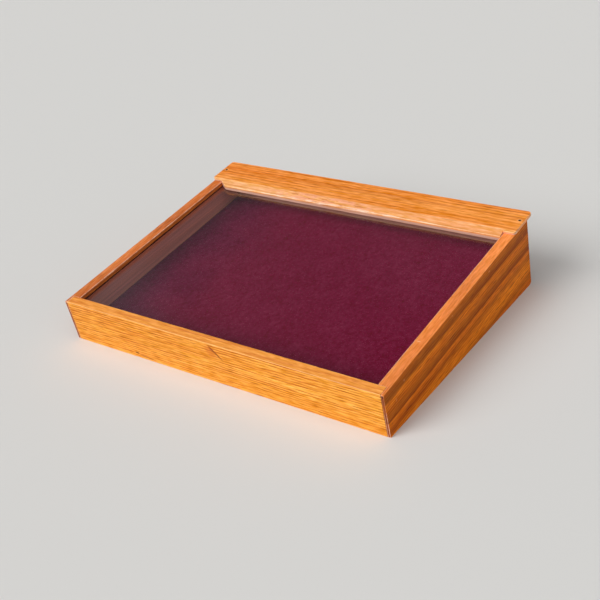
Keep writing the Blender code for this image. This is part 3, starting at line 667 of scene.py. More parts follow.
def boardFields(grain, worn, toEnd, endWorn, seam=0.0, faded=0.0, ends=0.0, inner=0.0, spared=0.0):
    # worn rises at the rounded ends too, but not where it is spared; end is 1 on the flat end faces
    fade = np.maximum(worn, endWorn * np.exp(-toEnd / boardEnds["wornReach"])[:, None])
    fade[[0, -1]] = boardEnds["faceWorn"] * endWorn
    endFace = np.zeros_like(worn) + ends
    endFace[[0, 1, -2, -1]] = 1.0
    endFace[[2, -3]] = np.maximum(endFace[[2, -3]], boardEnds["grainBlend"])
    masks = {"worn": fade * (1 - spared), "end": endFace, "seam": seam, "faded": faded, "inner": inner}
    return {"grain": grain, **{label: np.zeros_like(worn) + mask for label, mask in masks.items()}}


def makeBoard(name, body, node, places, grainWay, material, **looks):
    # places: across, up and height of every point; grainWay: their order along the grain, across and into it
    points = np.stack(np.broadcast_arrays(*places), -1)
    fields = boardFields(points[..., grainWay], **looks)
    piece = makePiece(name, toWorld(points), loftFaces(*points.shape[:2]), material, fields)
    settle(piece, body, "oak", node)


# Side panels: a tapering section carried up the slope, with a rabbet at the front and the glass groove inside
sideBoard = {
    "thick": 0.019,
    "lip": 0.005,
    "rabbet": 0.0178,
    "grooveEnd": 0.4376,
    "arris": 0.0009,
    "mostRound": 0.4,  # of the thickness
    "nicks": {"swing": 0.28, "count": 5, "deep": 0.0009},
    "step": 0.0022,
    "counts": (8, 34),
    "cornerWorn": (0.5, 0.9, 0.5, 0.75),
    "endWorn": 0.75,
    "lipSeam": {"across": 0.0146, "up": 0.0012, "below": 0.001, "depth": 0.55},
    "glassSeam": {"reach": 0.0015, "depth": 0.75},
    "innerBelow": 0.0012,
    "greyed": {"reach": 0.002, "least": 0.15},  # from the groove down
    "fadeReach": 0.001,
    "heelReach": 0.0012,
    "heelDrop": 0.999,  # a hair short of the full round
    "endTurn": 1.5,
    "gloss": 0.04,
    "heart": (0.211, caseSize["half"]),  # height of the tree's middle and how far across it lies
    "grain": {
        "Ring": 0.026, "FineRing": 0.0046, "Wander": 0.006, "Runout": -0.0224, "Lines": 0.1, "FineLines": 0.5,
        "Dash": 9.0, "Bands": 0.8, "Pores": 0.6, "Streak": 0.5, "Fleck": 0.8,
        "Pale": tone(238, 132, 19), "Warm": tone(210, 98, 7), "Dark": tone(116, 44, 3),
    },
    "edge": {
        "Amount": 0.85, "Bare": tone(252, 206, 178), "EndTone": tone(128, 66, 42), "Grime": tone(40, 18, 12),
        "InnerTone": tone(244, 166, 152),
    },
}


def ringEdge(edge, slope, run, sharp, depth):  # height at the front, rise up the slope, then how it shades
    return {"edge": edge, "slope": slope, "run": run, "sharp": sharp, "depth": depth}


leftSide = {
    "sign": -1,
    "node": "left_side_panel",
    "seed": 21,
    "fade": {"FadeSheenAmount": 0.25, "FadeSheenTone": tone(206, 116, 76), "FadeSheenTint": (0.96, 1.13, 10, 1)},
    "rings": {
        "bend": 0.008,
        "tone": tone(104, 38, 2),
        "edges": [
            ringEdge(-0.026, 0.012, 0.016, 0.006, 0.34),
            ringEdge(-0.044, 0.010, 0.012, 0.002, 0.4),
            ringEdge(-0.071, 0.008, 0.021, 0.004, 0.42),
            ringEdge(-0.097, 0.008, 0.018, 0.008, 0.35),
        ],
    },
    "marks": [],
}
rightSide = {
    "sign": 1,
    "node": "right_side_panel",
    "seed": 34,
    "fade": {"FadeSheenAmount": 0.4, "FadeSheenTone": tone(255, 152, 92), "FadeSheenTint": (1.4, 1.78, 12, 1)},
    "rings": {
        "bend": 0.005,
        "tone": tone(104, 38, 2),
        "edges": [
            ringEdge(-0.0145, 0.0175, 0.030, 0.005, 0.64),
            ringEdge(-0.0490, 0.0090, 0.024, 0.004, 0.58),
            ringEdge(-0.0493, 0.0090, 0.0018, 0.0009, 0.52),
            ringEdge(-0.0660, 0.0060, 0.011, 0.011, 0.32),
            ringEdge(-0.1020, 0.0090, 0.013, 0.006, 0.34),
        ],
    },
    "marks": [
        mark((0.3136, -0.0083, caseSize["half"]), (0.003, 0.002, 0.01), 0.4, (240, 170, 120)),
        mark((0.1936, -0.0065, caseSize["half"]), (0.0024, 0.0018, 0.01), 0.3, (230, 160, 110)),
        mark((0.0517, -0.014, caseSize["half"]), (0.0024, 0.0024, 0.01), 0.3, (236, 170, 120)),
        mark((0.027, -0.029, caseSize["half"]), (0.0013, 0.005, 0.01), 0.25, (236, 170, 120)),
        mark((0.118, 0.0, 0.293), (0.0013, 0.003, 0.0042), 0.7, (255, 196, 150)),  # chip on the rail top
        mark((0.0, -0.0035, 0.3025), (0.004, 0.003, 0.0016), 0.8, (60, 28, 20)),
    ],
}


def makeSide(name, side, settings):
    # A rounded rectangle at every station up the slope, thinned to the lip in front and rounded at the heel
    sign, seed, thick = side["sign"], side["seed"], settings["thick"]
    length, heel = caseSize["length"], caseSize["heel"]
    rabbet, grooveEnd = settings["rabbet"], settings["grooveEnd"]
    heelTurn = np.linspace(0, np.pi / 2, 12)[1:-1]
    heelPlaces = length - heel + (heel - settings["arris"]) * np.sin(heelTurn)
    up, inset, toEnd = boardStations(
        0.0, length, settings["arris"], settings["step"], [rabbet, grooveEnd], heelPlaces
    )
    upGrid = up[:, None]
    innerSide = np.where(up < rabbet, thick - settings["lip"], 0.0) + inset
    outerSide = thick - inset
    overHeel = np.clip(up - (length - heel), 0, heel)
    foot = bottomAt(up) + heel - np.sqrt(heel**2 - overHeel**2) * settings["heelDrop"] + inset
    crown = -inset
    most = (outerSide - innerSide) * settings["mostRound"]
    radii = wornRadii(up, settings["arris"], most, seed=seed, nickSeed=seed + 1, **settings["nicks"])
    grooveLow, grooveHigh, depth = caseSize["groove"]
    depth = np.where((up > rabbet) & (up < grooveEnd), depth, 0.0)
    section, worn = roundedSection(
        (innerSide, foot), (outerSide, crown), radii, settings["counts"], settings["cornerWorn"],
        (grooveLow, grooveHigh, depth),
    )
    outward, height = section[..., 0], section[..., 1]
    across = sign * (caseSize["half"] - thick + outward)
    rim = height - crown[:, None]
    lip, glass, greyed = settings["lipSeam"], settings["glassSeam"], settings["greyed"]
    atLip = (outward < lip["across"]) & (upGrid < lip["up"]) & (rim < -lip["below"])
    isInner = (outward < depth[:, None] + 1e-4) & (upGrid > rabbet) & (rim < -settings["innerBelow"])
    nearGlass = np.minimum(np.abs(height - grooveLow), np.abs(height - grooveHigh))
    glassLine = isInner * glass["depth"] * np.exp(-((nearGlass / glass["reach"]) ** 2))
    belowHeel = np.clip(1 - (height - foot[:, None]) / settings["heelReach"], 0, 1)
    turning = (overHeel / heel)[:, None] * belowHeel  # where the long grain turns into end grain
    heartUp, heartAcross = settings["heart"]
    grain = {"Seed": float(seed), "Heart": (0, heartUp, sign * heartAcross), **settings["grain"]}
    edge = {**side["fade"], **settings["edge"]}
    makeBoard(
        name, "case", side["node"], (across, upGrid, height), [1, 2, 0],
        woodMaterial(name + "Oak", grain, edge, side["marks"], gloss=settings["gloss"], rings=side["rings"]),
        worn=worn, toEnd=toEnd, endWorn=settings["endWorn"],
        seam=np.maximum(np.where(atLip, lip["depth"], 0.0), glassLine),
        faded=np.clip(1 + rim / settings["fadeReach"], 0, 1),
        ends=turning ** settings["endTurn"],
        inner=isInner * np.clip((grooveHigh - height) / greyed["reach"], greyed["least"], 1),
        spared=turning,
    )


makeSide("leftSideBoard", leftSide, sideBoard)
makeSide("rightSideBoard", rightSide, sideBoard)
print("side boards made")

# Front board: a plain section carried across between the lips of the sides
frontBoard = {
    "half": 0.2997,
    "thick": 0.0175,
    "grooveHalf": 0.292,
    "arris": 0.0006,
    "mostRound": 0.004,
    "nicks": {"swing": 0.25, "seed": 5, "nickSeed": 50, "count": 7, "deep": 0.0008},
    "endRound": 0.0004,
    "step": 0.0022,
    "counts": (8, 32),
    "cornerWorn": (0.4, 0.8, 1.0, 0.6),
    "endWorn": 0.1,
    "levelled": (0.045, 0.025),  # depth where the section starts to lean, and over how much
    "jointSeam": {"near": 0.001, "reach": 0.0008, "face": 0.7, "top": 0.18},  # hardly shows on the rail tops
    "fadeReach": 0.001,
    "grain": {
        "Ring": 0.017, "FineRing": 0.0042, "Wander": 0.008, "Runout": 0.012, "Lines": 0.14, "FineLines": 1.0,
        "Dash": 15.0, "Bands": 0.6, "Pores": 0.7, "Streak": 0.5, "Fleck": 0.95, "Seed": 3.0,
        "Heart": (0, 0.19, 0.09), "Pale": tone(247, 171, 64), "Warm": tone(233, 145, 38),
        "Dark": tone(186, 78, 8),
    },
    "edge": {
        # pale bare arrises, partly a painted highlight along the top edge
        "Amount": 0.36, "Bare": tone(255, 216, 154), "EndTone": tone(190, 110, 60), "Grime": tone(60, 26, 14),
        "FadeSheenAmount": 0.45, "FadeSheenTone": tone(255, 158, 78), "FadeSheenTint": (1.0, 1.06, 1.5, 1),
    },
    "marks": [  # a scratch with its shadow, then a dark spot with its smear
        mark((0.0015, -0.016, 0), (0.017, 0.010, 0.01), 0.5, (206, 108, 34), turn=-0.8),
        mark((0.0045, -0.010, 0), (0.009, 0.004, 0.01), 0.6, (176, 88, 30), turn=-0.9),
        mark((0.012, -0.0152, 0), (0.021, 0.0026, 0.01), 0.85, (140, 62, 14), turn=-0.8),
        mark((-0.166, -0.0673, 0), (0.006, 0.0025, 0.01), 0.85, (88, 38, 16)),
        mark((-0.146, -0.0705, 0), (0.026, 0.0028, 0.01), 0.6, (160, 80, 28), turn=-0.12),
    ],
}


def makeFront(settings):
    # A rounded rectangle at every station across; its lower part leans so that the bottom edge is cut level
    half, thick, grooveHalf = settings["half"], settings["thick"], settings["grooveHalf"]
    across, inset, toEnd = boardStations(
        -half, half, settings["endRound"], settings["step"], [-grooveHalf, grooveHalf]
    )
    radii = wornRadii(across, settings["arris"], settings["mostRound"], **settings["nicks"])
    grooveLow, grooveHigh, depth = caseSize["groove"]
    depth = np.where(np.abs(across) < grooveHalf, depth, 0.0)
    section, worn = roundedSection(
        (inset, bottomAt(0.0) + inset), (thick - inset, -inset), radii, settings["counts"],
        settings["cornerWorn"], (grooveLow, grooveHigh, depth),
    )
    up, height = thick - section[..., 0], section[..., 1]
    levelFrom, levelRun = settings["levelled"]
    height = height - up * tiltTan * np.clip((-height - levelFrom) / levelRun, 0, 1)
    joint = settings["jointSeam"]
    onFace = (up < joint["near"]) & (height < -joint["near"])
    makeBoard(
        "frontBoard", "case", "front_board", (across[:, None], up, height), [0, 2, 1],
        woodMaterial("frontOak", settings["grain"], settings["edge"], settings["marks"]),
        worn=worn, toEnd=toEnd, endWorn=settings["endWorn"],
        seam=np.exp(-toEnd[:, None] / joint["reach"]) * np.where(onFace, joint["face"], joint["top"]),
        faded=np.clip(1 + height / settings["fadeReach"], 0, 1),
    )


makeFront(frontBoard)
print("front board made")

# Top board: an ear plate with a thick tongue between the sides, bevelled along the front
topBoard = {
    "tongueHalf": 0.2855,
    "earHalf": 0.3066,
    "tongueFront": 0.393,
    "tongueBack": 0.4372,
    "earFront": 0.4042,
    "back": 0.4676,
    "bottom": -0.0077,
    "earBottom": 0.0003,
    "top": 0.0058,
    "bevelStart": 0.4085,
    "bevelDrop": 0.0054,
    "cornerCut": (0.015, 0.0104),  # across and up, at the tongue's left end
    "earRadius": 0.006,
    "nose": {"tongue": 0.0017, "ear": 0.0011, "swing": 0.2, "seed": 9},
    "backEdge": {"least": 4e-4, "most": 0.0014, "swing": 0.3, "seed": 8},
    "lowRound": 0.0005,
    "arris": 0.0009,
    "step": 0.0024,
    "nail": {"across": 0.299, "up": 0.438},
    "endWorn": 0.95,
    "fadeSheenBlend": 0.0006,  # either side of the bevel's start
    "dulled": {"near": 0.0004, "reach": 0.003},  # the nose's face is duller than the bevel
    "grain": {
        "Ring": 0.017, "FineRing": 0.0057, "Wander": 0.009, "Runout": 0.006, "Lines": 0.35, "FineLines": 0.66,
        "Dash": 8.0, "Bands": 1.0, "Pores": 0.5, "Streak": 0.7, "Fleck": 0.75, "Seed": 9.0,
        "Heart": (0, 0.30, -0.11), "Pale": tone(255, 165, 76), "Warm": tone(250, 141, 54),
        "Dark": tone(184, 82, 6),
    },
    "edge": {
        # pale bare arrises and nose, partly a painted highlight
        "Amount": 0.75, "Bare": tone(255, 210, 160), "EndTone": tone(240, 160, 104),
        "Grime": tone(70, 40, 30), "InnerTone": tone(202, 174, 166),
        # the bevel's faded tone, paler partly as a painted sheen
        "FadeSheenAmount": 0.3, "FadeSheenTone": tone(244, 182, 126), "FadeSheenTint": (0.98, 1.38, 3.0, 1),
    },
    "bevelMarks": [  # rubbed patches along the bevel, and a painted highlight streak along its nose
        mark((0.0, 0.4005, 0.003), (0.6, 0.014, 0.02), 0.45, (204, 124, 62),
             rough=(5, 460, 460), patch=(0.46, 0.62)),
        mark((-0.05, 0.4005, 0.003), (0.18, 0.0125, 0.02), 0.6, (236, 162, 132),
             rough=(52, 190, 190), patch=(0.48, 0.54)),
        mark((-0.06, 0.4005, 0.003), (0.15, 0.0105, 0.02), 0.75, (186, 100, 58),
             rough=(44, 520, 520), patch=(0.55, 0.62)),
        # painted highlight: a broken white streak along the nose
        mark((-0.02, 0.3938, 0.0005), (0.25, 0.003, 0.004), 0.8, (255, 230, 210),
             rough=(40, 620, 620), patch=(0.47, 0.56)),
    ],
    "nailMarks": [  # a pale ring and a dark ring round each nail, the dark one partly a stain and partly painted shade of its hole: reach, strength, colour
        (0.0062, 0.4, (255, 206, 150)),
        # partly a stain, partly painted shade of the nail's hole
        (0.0038, 0.8, (112, 54, 20)),
    ],
    "nailMarkShape": (0.8, 0.004),  # up the slope as a share of the reach, and depth
}


def nailPlace(sign, settings):
    return sign * settings["nail"]["across"], settings["nail"]["up"], settings["top"]


def nailMarks(settings):
    narrow, deep = settings["nailMarkShape"]
    return [
        mark(nailPlace(sign, settings), (reach, reach * narrow, deep), *look)
        for _, sign in bothSides for reach, *look in settings["nailMarks"]
    ]


def makeTop(settings):
    # A section at every station across: foot, shelf of the ears, back edge, top, bevel and rounded nose
    earHalf, tongueHalf, radius = settings["earHalf"], settings["tongueHalf"], settings["earRadius"]
    turn = np.linspace(0, np.pi / 2, 9)[1:-1]
    arc = earHalf - radius + (radius - settings["arris"]) * np.sin(turn)
    cutAcross, cutUp = settings["cornerCut"]
    across, inset, toEnd = boardStations(
        -earHalf, earHalf, settings["arris"], settings["step"], [-tongueHalf, tongueHalf],
        [*-arc, *arc, cutAcross - tongueHalf],
    )
    isTongue = np.abs(across) < tongueHalf
    past = np.clip(np.abs(across) - (earHalf - radius), 0, radius)
    cut = radius - np.sqrt(radius**2 - past**2)
    tongueFront = settings["tongueFront"] + cutUp * np.clip(1 - (across + tongueHalf) / cutAcross, 0, 1)
    front = np.where(isTongue, tongueFront, settings["earFront"] + cut) + inset
    back = settings["back"] - cut - inset
    foot = np.where(isTongue, settings["bottom"], settings["earBottom"]) + inset
    shelf = np.full_like(across, settings["earBottom"]) + inset
    tongueBack = np.full_like(across, settings["tongueBack"])
    top = settings["top"] - inset
    slant = settings["bevelDrop"] / (settings["bevelStart"] - settings["tongueFront"])
    crest = np.full_like(across, settings["bevelStart"])
    lean = math.hypot(1, slant)
    steep = math.degrees(math.atan(slant))
    noseTop = top - slant * (crest - front)
    edge, nose, dulled = settings["backEdge"], settings["nose"], settings["dulled"]
    backRound = settings["arris"] * (1 + edge["swing"] * uneven(across, edge["seed"]))
    backRound = np.clip(backRound, edge["least"], edge["most"])
    noseRound = np.where(isTongue, nose["tongue"], nose["ear"])
    noseRound = noseRound * (1 + nose["swing"] * uneven(across, nose["seed"]))
    noseMiddle = pair(front + noseRound, noseTop + slant * noseRound - noseRound * lean)
    noseStart = noseMiddle + noseRound[:, None] * np.array([-slant, 1]) / lean
    lowRound = np.full_like(across, settings["lowRound"])
    section, worn = joined([
        straight(pair(front + lowRound, foot), pair(tongueBack, foot), 10, (0.3, 0)),
        straight(pair(tongueBack, foot), pair(tongueBack, shelf), 2),
        straight(pair(tongueBack, shelf), pair(back - backRound, shelf), 6, (0, 0.6)),
        corner(pair(back - backRound, shelf + backRound), backRound, -90, worn=0.8),
        straight(pair(back, shelf + backRound), pair(back, top - backRound), 3, (0.8, 1)),
        corner(pair(back - backRound, top - backRound), backRound, 0, worn=1.0),
        straight(pair(back - backRound, top), pair(crest, top), 24, (1, 0)),
        straight(pair(crest, top), noseStart, 10, (0, 0.7)),
        # the nose worn pale, partly as a painted highlight
        corner(noseMiddle, noseRound, 90 + steep, 90 - steep, 6, worn=0.74),
        straight(pair(front, noseMiddle[:, 1]), pair(front, foot + lowRound), 6, (0.6, 0.3)),
        corner(pair(front + lowRound, foot + lowRound), lowRound, 180, worn=0.3),
    ])
    up, height = section[..., 0], section[..., 1]
    blend = settings["fadeSheenBlend"]
    onFace = np.clip(1 - (up - front[:, None]) / dulled["near"], 0, 1)
    marks = [*settings["bevelMarks"], *nailMarks(settings)]
    makeBoard(
        "topBoard", "case", "top_board", (across[:, None], up, height), [0, 1, 2],
        woodMaterial("topOak", settings["grain"], settings["edge"], marks),
        worn=worn, toEnd=toEnd, endWorn=settings["endWorn"],
        # the bevel faded paler, partly as a painted sheen
        faded=np.clip((settings["bevelStart"] + blend - up) / (2 * blend), 0, 1) * (height > 0),
        inner=onFace * np.clip((noseMiddle[:, 1:] - height) / dulled["reach"], 0, 1),
    )


makeTop(topBoard)
print("top board made")

# Back rail: a section with a rebate for the display panel and a rounded heel, carried across
backRail = {
    "half": 0.2857,
    "front": 0.433,
    "rebate": 0.4405,
    "top": -0.0513,
    "seat": -0.0588,
    "arris": 0.0007,
    "arrisSwing": {"swing": 0.3, "seed": 12},
    "endRound": 0.0005,
    "step": 0.003,
    "endWorn": 0.1,
    "grain": {
        "Ring": 0.019, "FineRing": 0.0046, "Wander": 0.009, "Runout": 0.012, "Lines": 0.45, "FineLines": 0.6,
        "Bands": 0.8, "Pores": 0.5, "Streak": 0.7, "Fleck": 0.5, "Seed": 14.0,
        "Heart": (0, 0.10, 0.40), "Pale": tone(244, 156, 62), "Warm": tone(220, 122, 34),
        "Dark": tone(130, 60, 10),
    },
    "edge": {
        "Amount": 0.8, "Bare": tone(248, 208, 164), "EndTone": tone(170, 100, 60), "Grime": tone(60, 30, 18),
    },
}


def makeBackRail(settings):
    # A section at every station across: level foot, heel, back face, top, rebate and front face
    half, endRound, swell = settings["half"], settings["endRound"], settings["arrisSwing"]
    across, inset, toEnd = boardStations(-half, half, endRound, settings["step"])
    front, back = settings["front"] + inset, caseSize["length"] - inset
    rebate = np.full_like(across, settings["rebate"])
    top, seat = settings["top"] - inset, settings["seat"] - inset
    heel = caseSize["heel"] - inset
    lean = math.degrees(tilt)
    foot = bottomAt(front) + inset
    heelMiddle = pair(back - heel, bottomAt(back - heel) + inset + heel / tiltCos)
    heelStart = heelMiddle + heel[:, None] * np.array([-tiltSin, -tiltCos])
    ease = settings["arris"] * (1 + swell["swing"] * uneven(across, swell["seed"]))
    section, worn = joined([
        straight(pair(front, foot), heelStart, 6, (0.4, 0)),
        corner(heelMiddle, heel, -90 - lean, 90 + lean, 12, worn=0.2),
        straight(pair(back, heelMiddle[:, 1]), pair(back, top - ease), 24, (0, 0.8)),
        corner(pair(back - ease, top - ease), ease, 0, worn=0.9),
        straight(pair(back - ease, top), pair(rebate, top), 5, (0.8, 0)),
        straight(pair(rebate, top), pair(rebate, seat), 2),
        straight(pair(rebate, seat), pair(front, seat), 3),
        straight(pair(front, seat), pair(front, foot), 14, (0, 0.4)),
    ])
    makeBoard(
        "backRail", "case", "back_rail", (across[:, None], section[..., 0], section[..., 1]), [0, 2, 1],
        woodMaterial("backRailOak", settings["grain"], settings["edge"]),
        worn=worn, toEnd=toEnd, endWorn=settings["endWorn"],
    )


makeBackRail(backRail)

# Back door: a plain board that drops open
backDoor = {
    "half": 0.285,
    "front": 0.438,
    "low": -0.0501,
    "high": -0.00354,
    "arris": 0.0012,
    "mostRound": 0.003,
    "nicks": {"swing": 0.25, "seed": 15, "nickSeed": 70, "count": 5, "deep": 0.0006},
    "step": 0.003,
    "counts": (6, 20),
    "cornerWorn": (0.5, 0.8, 0.9, 0.6),
    "endWorn": 0.8,
    "greyReach": 0.0006,
    "seed": 18.0,
    "grain": {
        "Ring": 0.015, "FineRing": 0.004, "Wander": 0.011, "Runout": -0.01, "Lines": 0.4, "FineLines": 0.65,
        "Bands": 0.8, "Pores": 0.5, "Streak": 0.7, "Fleck": 0.5,
        "Heart": (0, -0.17, 0.36), "Pale": tone(250, 162, 66), "Warm": tone(228, 130, 38),
        "Dark": tone(140, 66, 10),
    },
    "edge": {
        "Amount": 0.85, "Bare": tone(250, 212, 168), "EndTone": tone(180, 108, 66), "Grime": tone(60, 30, 18),
        "InnerTone": tone(196, 158, 152),
    },
}


def makeDoor(settings):
    # A rounded rectangle at every station across, greyed on its inner face
    half, front, arris = settings["half"], settings["front"], settings["arris"]
    across, inset, toEnd = boardStations(-half, half, arris, settings["step"])
    radii = wornRadii(across, arris, settings["mostRound"], **settings["nicks"])
    low = (front + inset, settings["low"] + inset)
    high = (caseSize["length"] - inset, settings["high"] - inset)
    section, worn = roundedSection(low, high, radii, settings["counts"], settings["cornerWorn"])
    up, height = section[..., 0], section[..., 1]
    makeBoard(
        "backDoor", "door", "back_door", (across[:, None], up, height), [0, 2, 1],
        woodMaterial("doorOak", {"Seed": settings["seed"], **settings["grain"]}, settings["edge"]),
        worn=worn, toEnd=toEnd, endWorn=settings["endWorn"],
        inner=np.clip(1 - (up - front) / settings["greyReach"], 0, 1),
    )


makeDoor(backDoor)
print("back rail and door made")

# Velvet: a thin cloth laid on the display panel
velvetCloth = {
    "half": 0.2852,
    "front": 0.0183,
    "back": 0.4402,
    "top": -0.051,
    "thick": 0.0012,
    "thinned": 0.0005,  # room for the waves above the panel
    "step": 0.003,
    "wave": 0.00025,
    "waveAcross": (41, 0.7),  # turns to the metre, in radians, and where they start
    "waveUp": (53, 1.9),
    "waveSlant": (17, 29),
    "noise": {  # to the metre across and up, then seed and detail
        "brushed": ((14, 11, 1), 1.0, 3),
        "mottled": ((130, 110, 1), 2.0, 2),
        "fine": ((330, 280, 1), 3.0, 2),
        "cloudy": ((42, 36, 1), 4.0, 2),
    },
    "lean": {"swing": 0.16, "from": -0.30, "to": -0.10},  # painted shade: the pile leans another way towards the left and shows darker and more purple there
    "tones": (tone(105, 16, 59), tone(134, 15, 60)),
    "tips": {"fine": 1.8, "mottled": 1.6, "cloudy": 0.7, "brushed": 0.6},  # paler where tips catch the light
    "tipsFrom": -2.35,
    "tipsTone": (0.1, 0.029, 0.05),
    "darkest": (0.02, 0.001, 0.004),
    "paintedLightByWall": {"from": -0.284, "to": -0.258, "tint": (1.35, 1.05, 1.5, 1)},  # painted light: lighter and bluer along the left wall, where its shadow falls
    "lint": {"cells": 48.0, "size": (0.02, 0.06), "chosen": (0.93, 0.98), "strength": 0.5},
    "lintTone": tone(220, 156, 176),
    "finish": {
        "Roughness": 0.95, "Specular IOR Level": 0.05, "Sheen Weight": 0.02, "Sheen Roughness": 0.4,
        "Sheen Tint": tone(214, 96, 130),
    },
    "bump": (0.12, 0.0003),
}


def velvetMaterial(settings):
    material, tree, shader = newMaterial("velvetPile")
    coords = readAttribute(tree, "pile", "Vector")
    across = splitXyz(tree, coords)[0]
    noise = {label: speckle(tree, coords, *values) for label, values in settings["noise"].items()}
    lean, wall, lint = settings["lean"], settings["paintedLightByWall"], settings["lint"]
    # painted shade: darker and more purple towards the left
    shadedAcross = timesPlus(tree, centred(tree, noise["brushed"]), lean["swing"], across)
    color = blendTone(tree, ranged(tree, shadedAcross, lean["from"], lean["to"]), *settings["tones"])
    tips = settings["tipsFrom"]
    for label, weight in settings["tips"].items():
        tips = timesPlus(tree, noise[label], weight, tips)
    color = vectorCalc(tree, "MULTIPLY_ADD", tips, settings["tipsTone"], color)
    color = vectorCalc(tree, "MAXIMUM", color, settings["darkest"])
    # painted light along the left wall, lifting the wall's shadow off the velvet
    paintedLightByWall = ranged(tree, across, wall["from"], wall["to"], 1.0, 0.0)
    color = blendTone(tree, paintedLightByWall, color, wall["tint"], "MULTIPLY")
    cells = newNode(tree, "TexVoronoi")
    cells.inputs["Scale"].default_value = lint["cells"]
    feed(tree, cells.inputs["Vector"], coords)
    pick = newNode(tree, "SeparateColor", (cells.outputs["Color"],)).outputs[0]
    spot = ranged(tree, cells.outputs["Distance"], *lint["size"], 1.0, 0.0)
    spot = times(tree, spot, ranged(tree, pick, *lint["chosen"]))
    color = blendTone(tree, times(tree, spot, lint["strength"]), color, settings["lintTone"])
    feed(tree, shader["Base Color"], color)
    setSockets(shader, settings["finish"])
    addBump(tree, shader, noise["fine"], *settings["bump"])
    return material


def makeVelvet(settings):
    # A flat grid with slow waves: a product of two sines and one slanting sine, all below the cloth's top
    half, front, back = settings["half"], settings["front"], settings["back"]
    across = np.linspace(-half, half, int(2 * half / settings["step"]) + 1)
    up = np.linspace(front, back, int((back - front) / settings["step"]) + 1)
    acrossGrid, upGrid = np.meshgrid(across, up, indexing="ij")
    acrossTurn, acrossStart = settings["waveAcross"]
    upTurn, upStart = settings["waveUp"]
    slantAcross, slantUp = settings["waveSlant"]
    wave = np.sin(acrossGrid * acrossTurn + acrossStart) * np.sin(upGrid * upTurn + upStart)
    wave = wave + np.sin(acrossGrid * slantAcross - upGrid * slantUp)
    height = settings["top"] + settings["wave"] * (wave / 2 - 1)
    points = toWorld(np.stack([acrossGrid, upGrid, height], -1))
    index = np.arange(height.size).reshape(height.shape)
    quads = np.stack([index[:-1, :-1], index[1:, :-1], index[1:, 1:], index[:-1, 1:]], -1).reshape(-1, 4)
    pile = np.stack([acrossGrid, upGrid, 0 * upGrid], -1)
    piece = makePiece("velvetCloth", points, quads.tolist(), velvetMaterial(settings), {"pile": pile})
    solid = piece.modifiers.new("clothThickness", "SOLIDIFY")
    solid.thickness = settings["thick"] - settings["thinned"]
    solid.offset = -1.0
    settle(piece, "case", "velvet", "velvet_lining")


makeVelvet(velvetCloth)
print("velvet laid")

# Finishes of the fittings
finishes = {
    "hingeBrass": {
        "Clean": tone(206, 164, 88), "Aged": tone(134, 100, 52), "Smooth": 0.24, "Rough": 0.5, "Seed": 1.0,
    },
    "screwSteel": {
        "Clean": tone(196, 192, 184), "Aged": tone(140, 134, 126), "Smooth": 0.26, "Rough": 0.5, "Seed": 2.0,
    },
    "nailIron": {
        "Clean": tone(74, 46, 32), "Aged": tone(44, 28, 20), "Smooth": 0.5, "Rough": 0.8, "Seed": 3.0,
    },
    "magnetIron": {
        "Clean": tone(84, 84, 88), "Aged": tone(52, 52, 56), "Smooth": 0.4, "Rough": 0.65, "Seed": 4.0,
    },
    "catchPlastic": {
        "Clean": tone(112, 70, 40), "Aged": tone(86, 52, 30), "Smooth": 0.42, "Rough": 0.6, "Seed": 5.0,
    },
}


def agedMaterial(name, isMetal=True):
    material, tree, shader = newMaterial(name)
    look = useGroup(tree, tarnish, {"Coords": objectCoords(tree), **finishes[name]})
    feed(tree, shader["Base Color"], look["Color"])
    feed(tree, shader["Roughness"], look["Roughness"])
    if isMetal:
        shader["Metallic"].default_value = 1.0
        addBump(tree, shader, look["Height"], *tarnishLook["bump"])
    return material


brass = agedMaterial("hingeBrass")
steel = agedMaterial("screwSteel")
nailIron = agedMaterial("nailIron")
magnetIron = agedMaterial("magnetIron")
catchPlastic = agedMaterial("catchPlastic", isMetal=False)


def makeFitting(node, shapes, material, body, slotName):  # the piece is named after its node
    first, *others = node.split("_")
    name = first + "".join(word.capitalize() for word in others)
    points, faces = gathered(shapes)
    settle(makePiece(name, toWorld(points), faces.tolist(), material), body, slotName, node)


# Nails: low domes over the ears, and puttied holes in the side boards
nails = {
    "radius": 0.002,
    "dome": 0.00022,
    "sunk": 0.0006,
    "puttyRadius": 0.0016,
    "puttyProud": 0.00007,
    "puttyTones": (tone(216, 118, 34), tone(176, 86, 18)),
    "puttyPatch": ((900, 900, 900), 6.0, 3),
    "puttyRange": (0.35, 0.65),
    "puttyFinish": {"Roughness": 0.7, "Specular IOR Level": 0.1},
    "sidePlaces": {  # up the slope and height
        "front_nail_upper": (0.00875, -0.020),
        "front_nail_lower": (0.00875, -0.0565),
        "stop_rail_nail": (0.4311, -0.01775),
        "back_rail_nail_upper": (0.44625, -0.0713),
        "back_rail_nail_lower": (0.44625, -0.105),
    },
}


def domeProfile(radius, rise, sunk):  # a quarter wave from the crown to the rim, then a straight wall
    turn = np.linspace(0, np.pi / 2, 8)
    cap = np.stack([radius * np.sin(turn), rise * np.cos(turn)], -1)
    return np.concatenate([cap, [(radius, -sunk), (0, -sunk)]])


def puttyMaterial(settings):
    material, tree, shader = newMaterial("nailPutty")
    patch = speckle(tree, objectCoords(tree), *settings["puttyPatch"])
    color = blendTone(tree, ranged(tree, patch, *settings["puttyRange"]), *settings["puttyTones"])
    feed(tree, shader["Base Color"], color)
    setSockets(shader, settings["puttyFinish"])
    return material


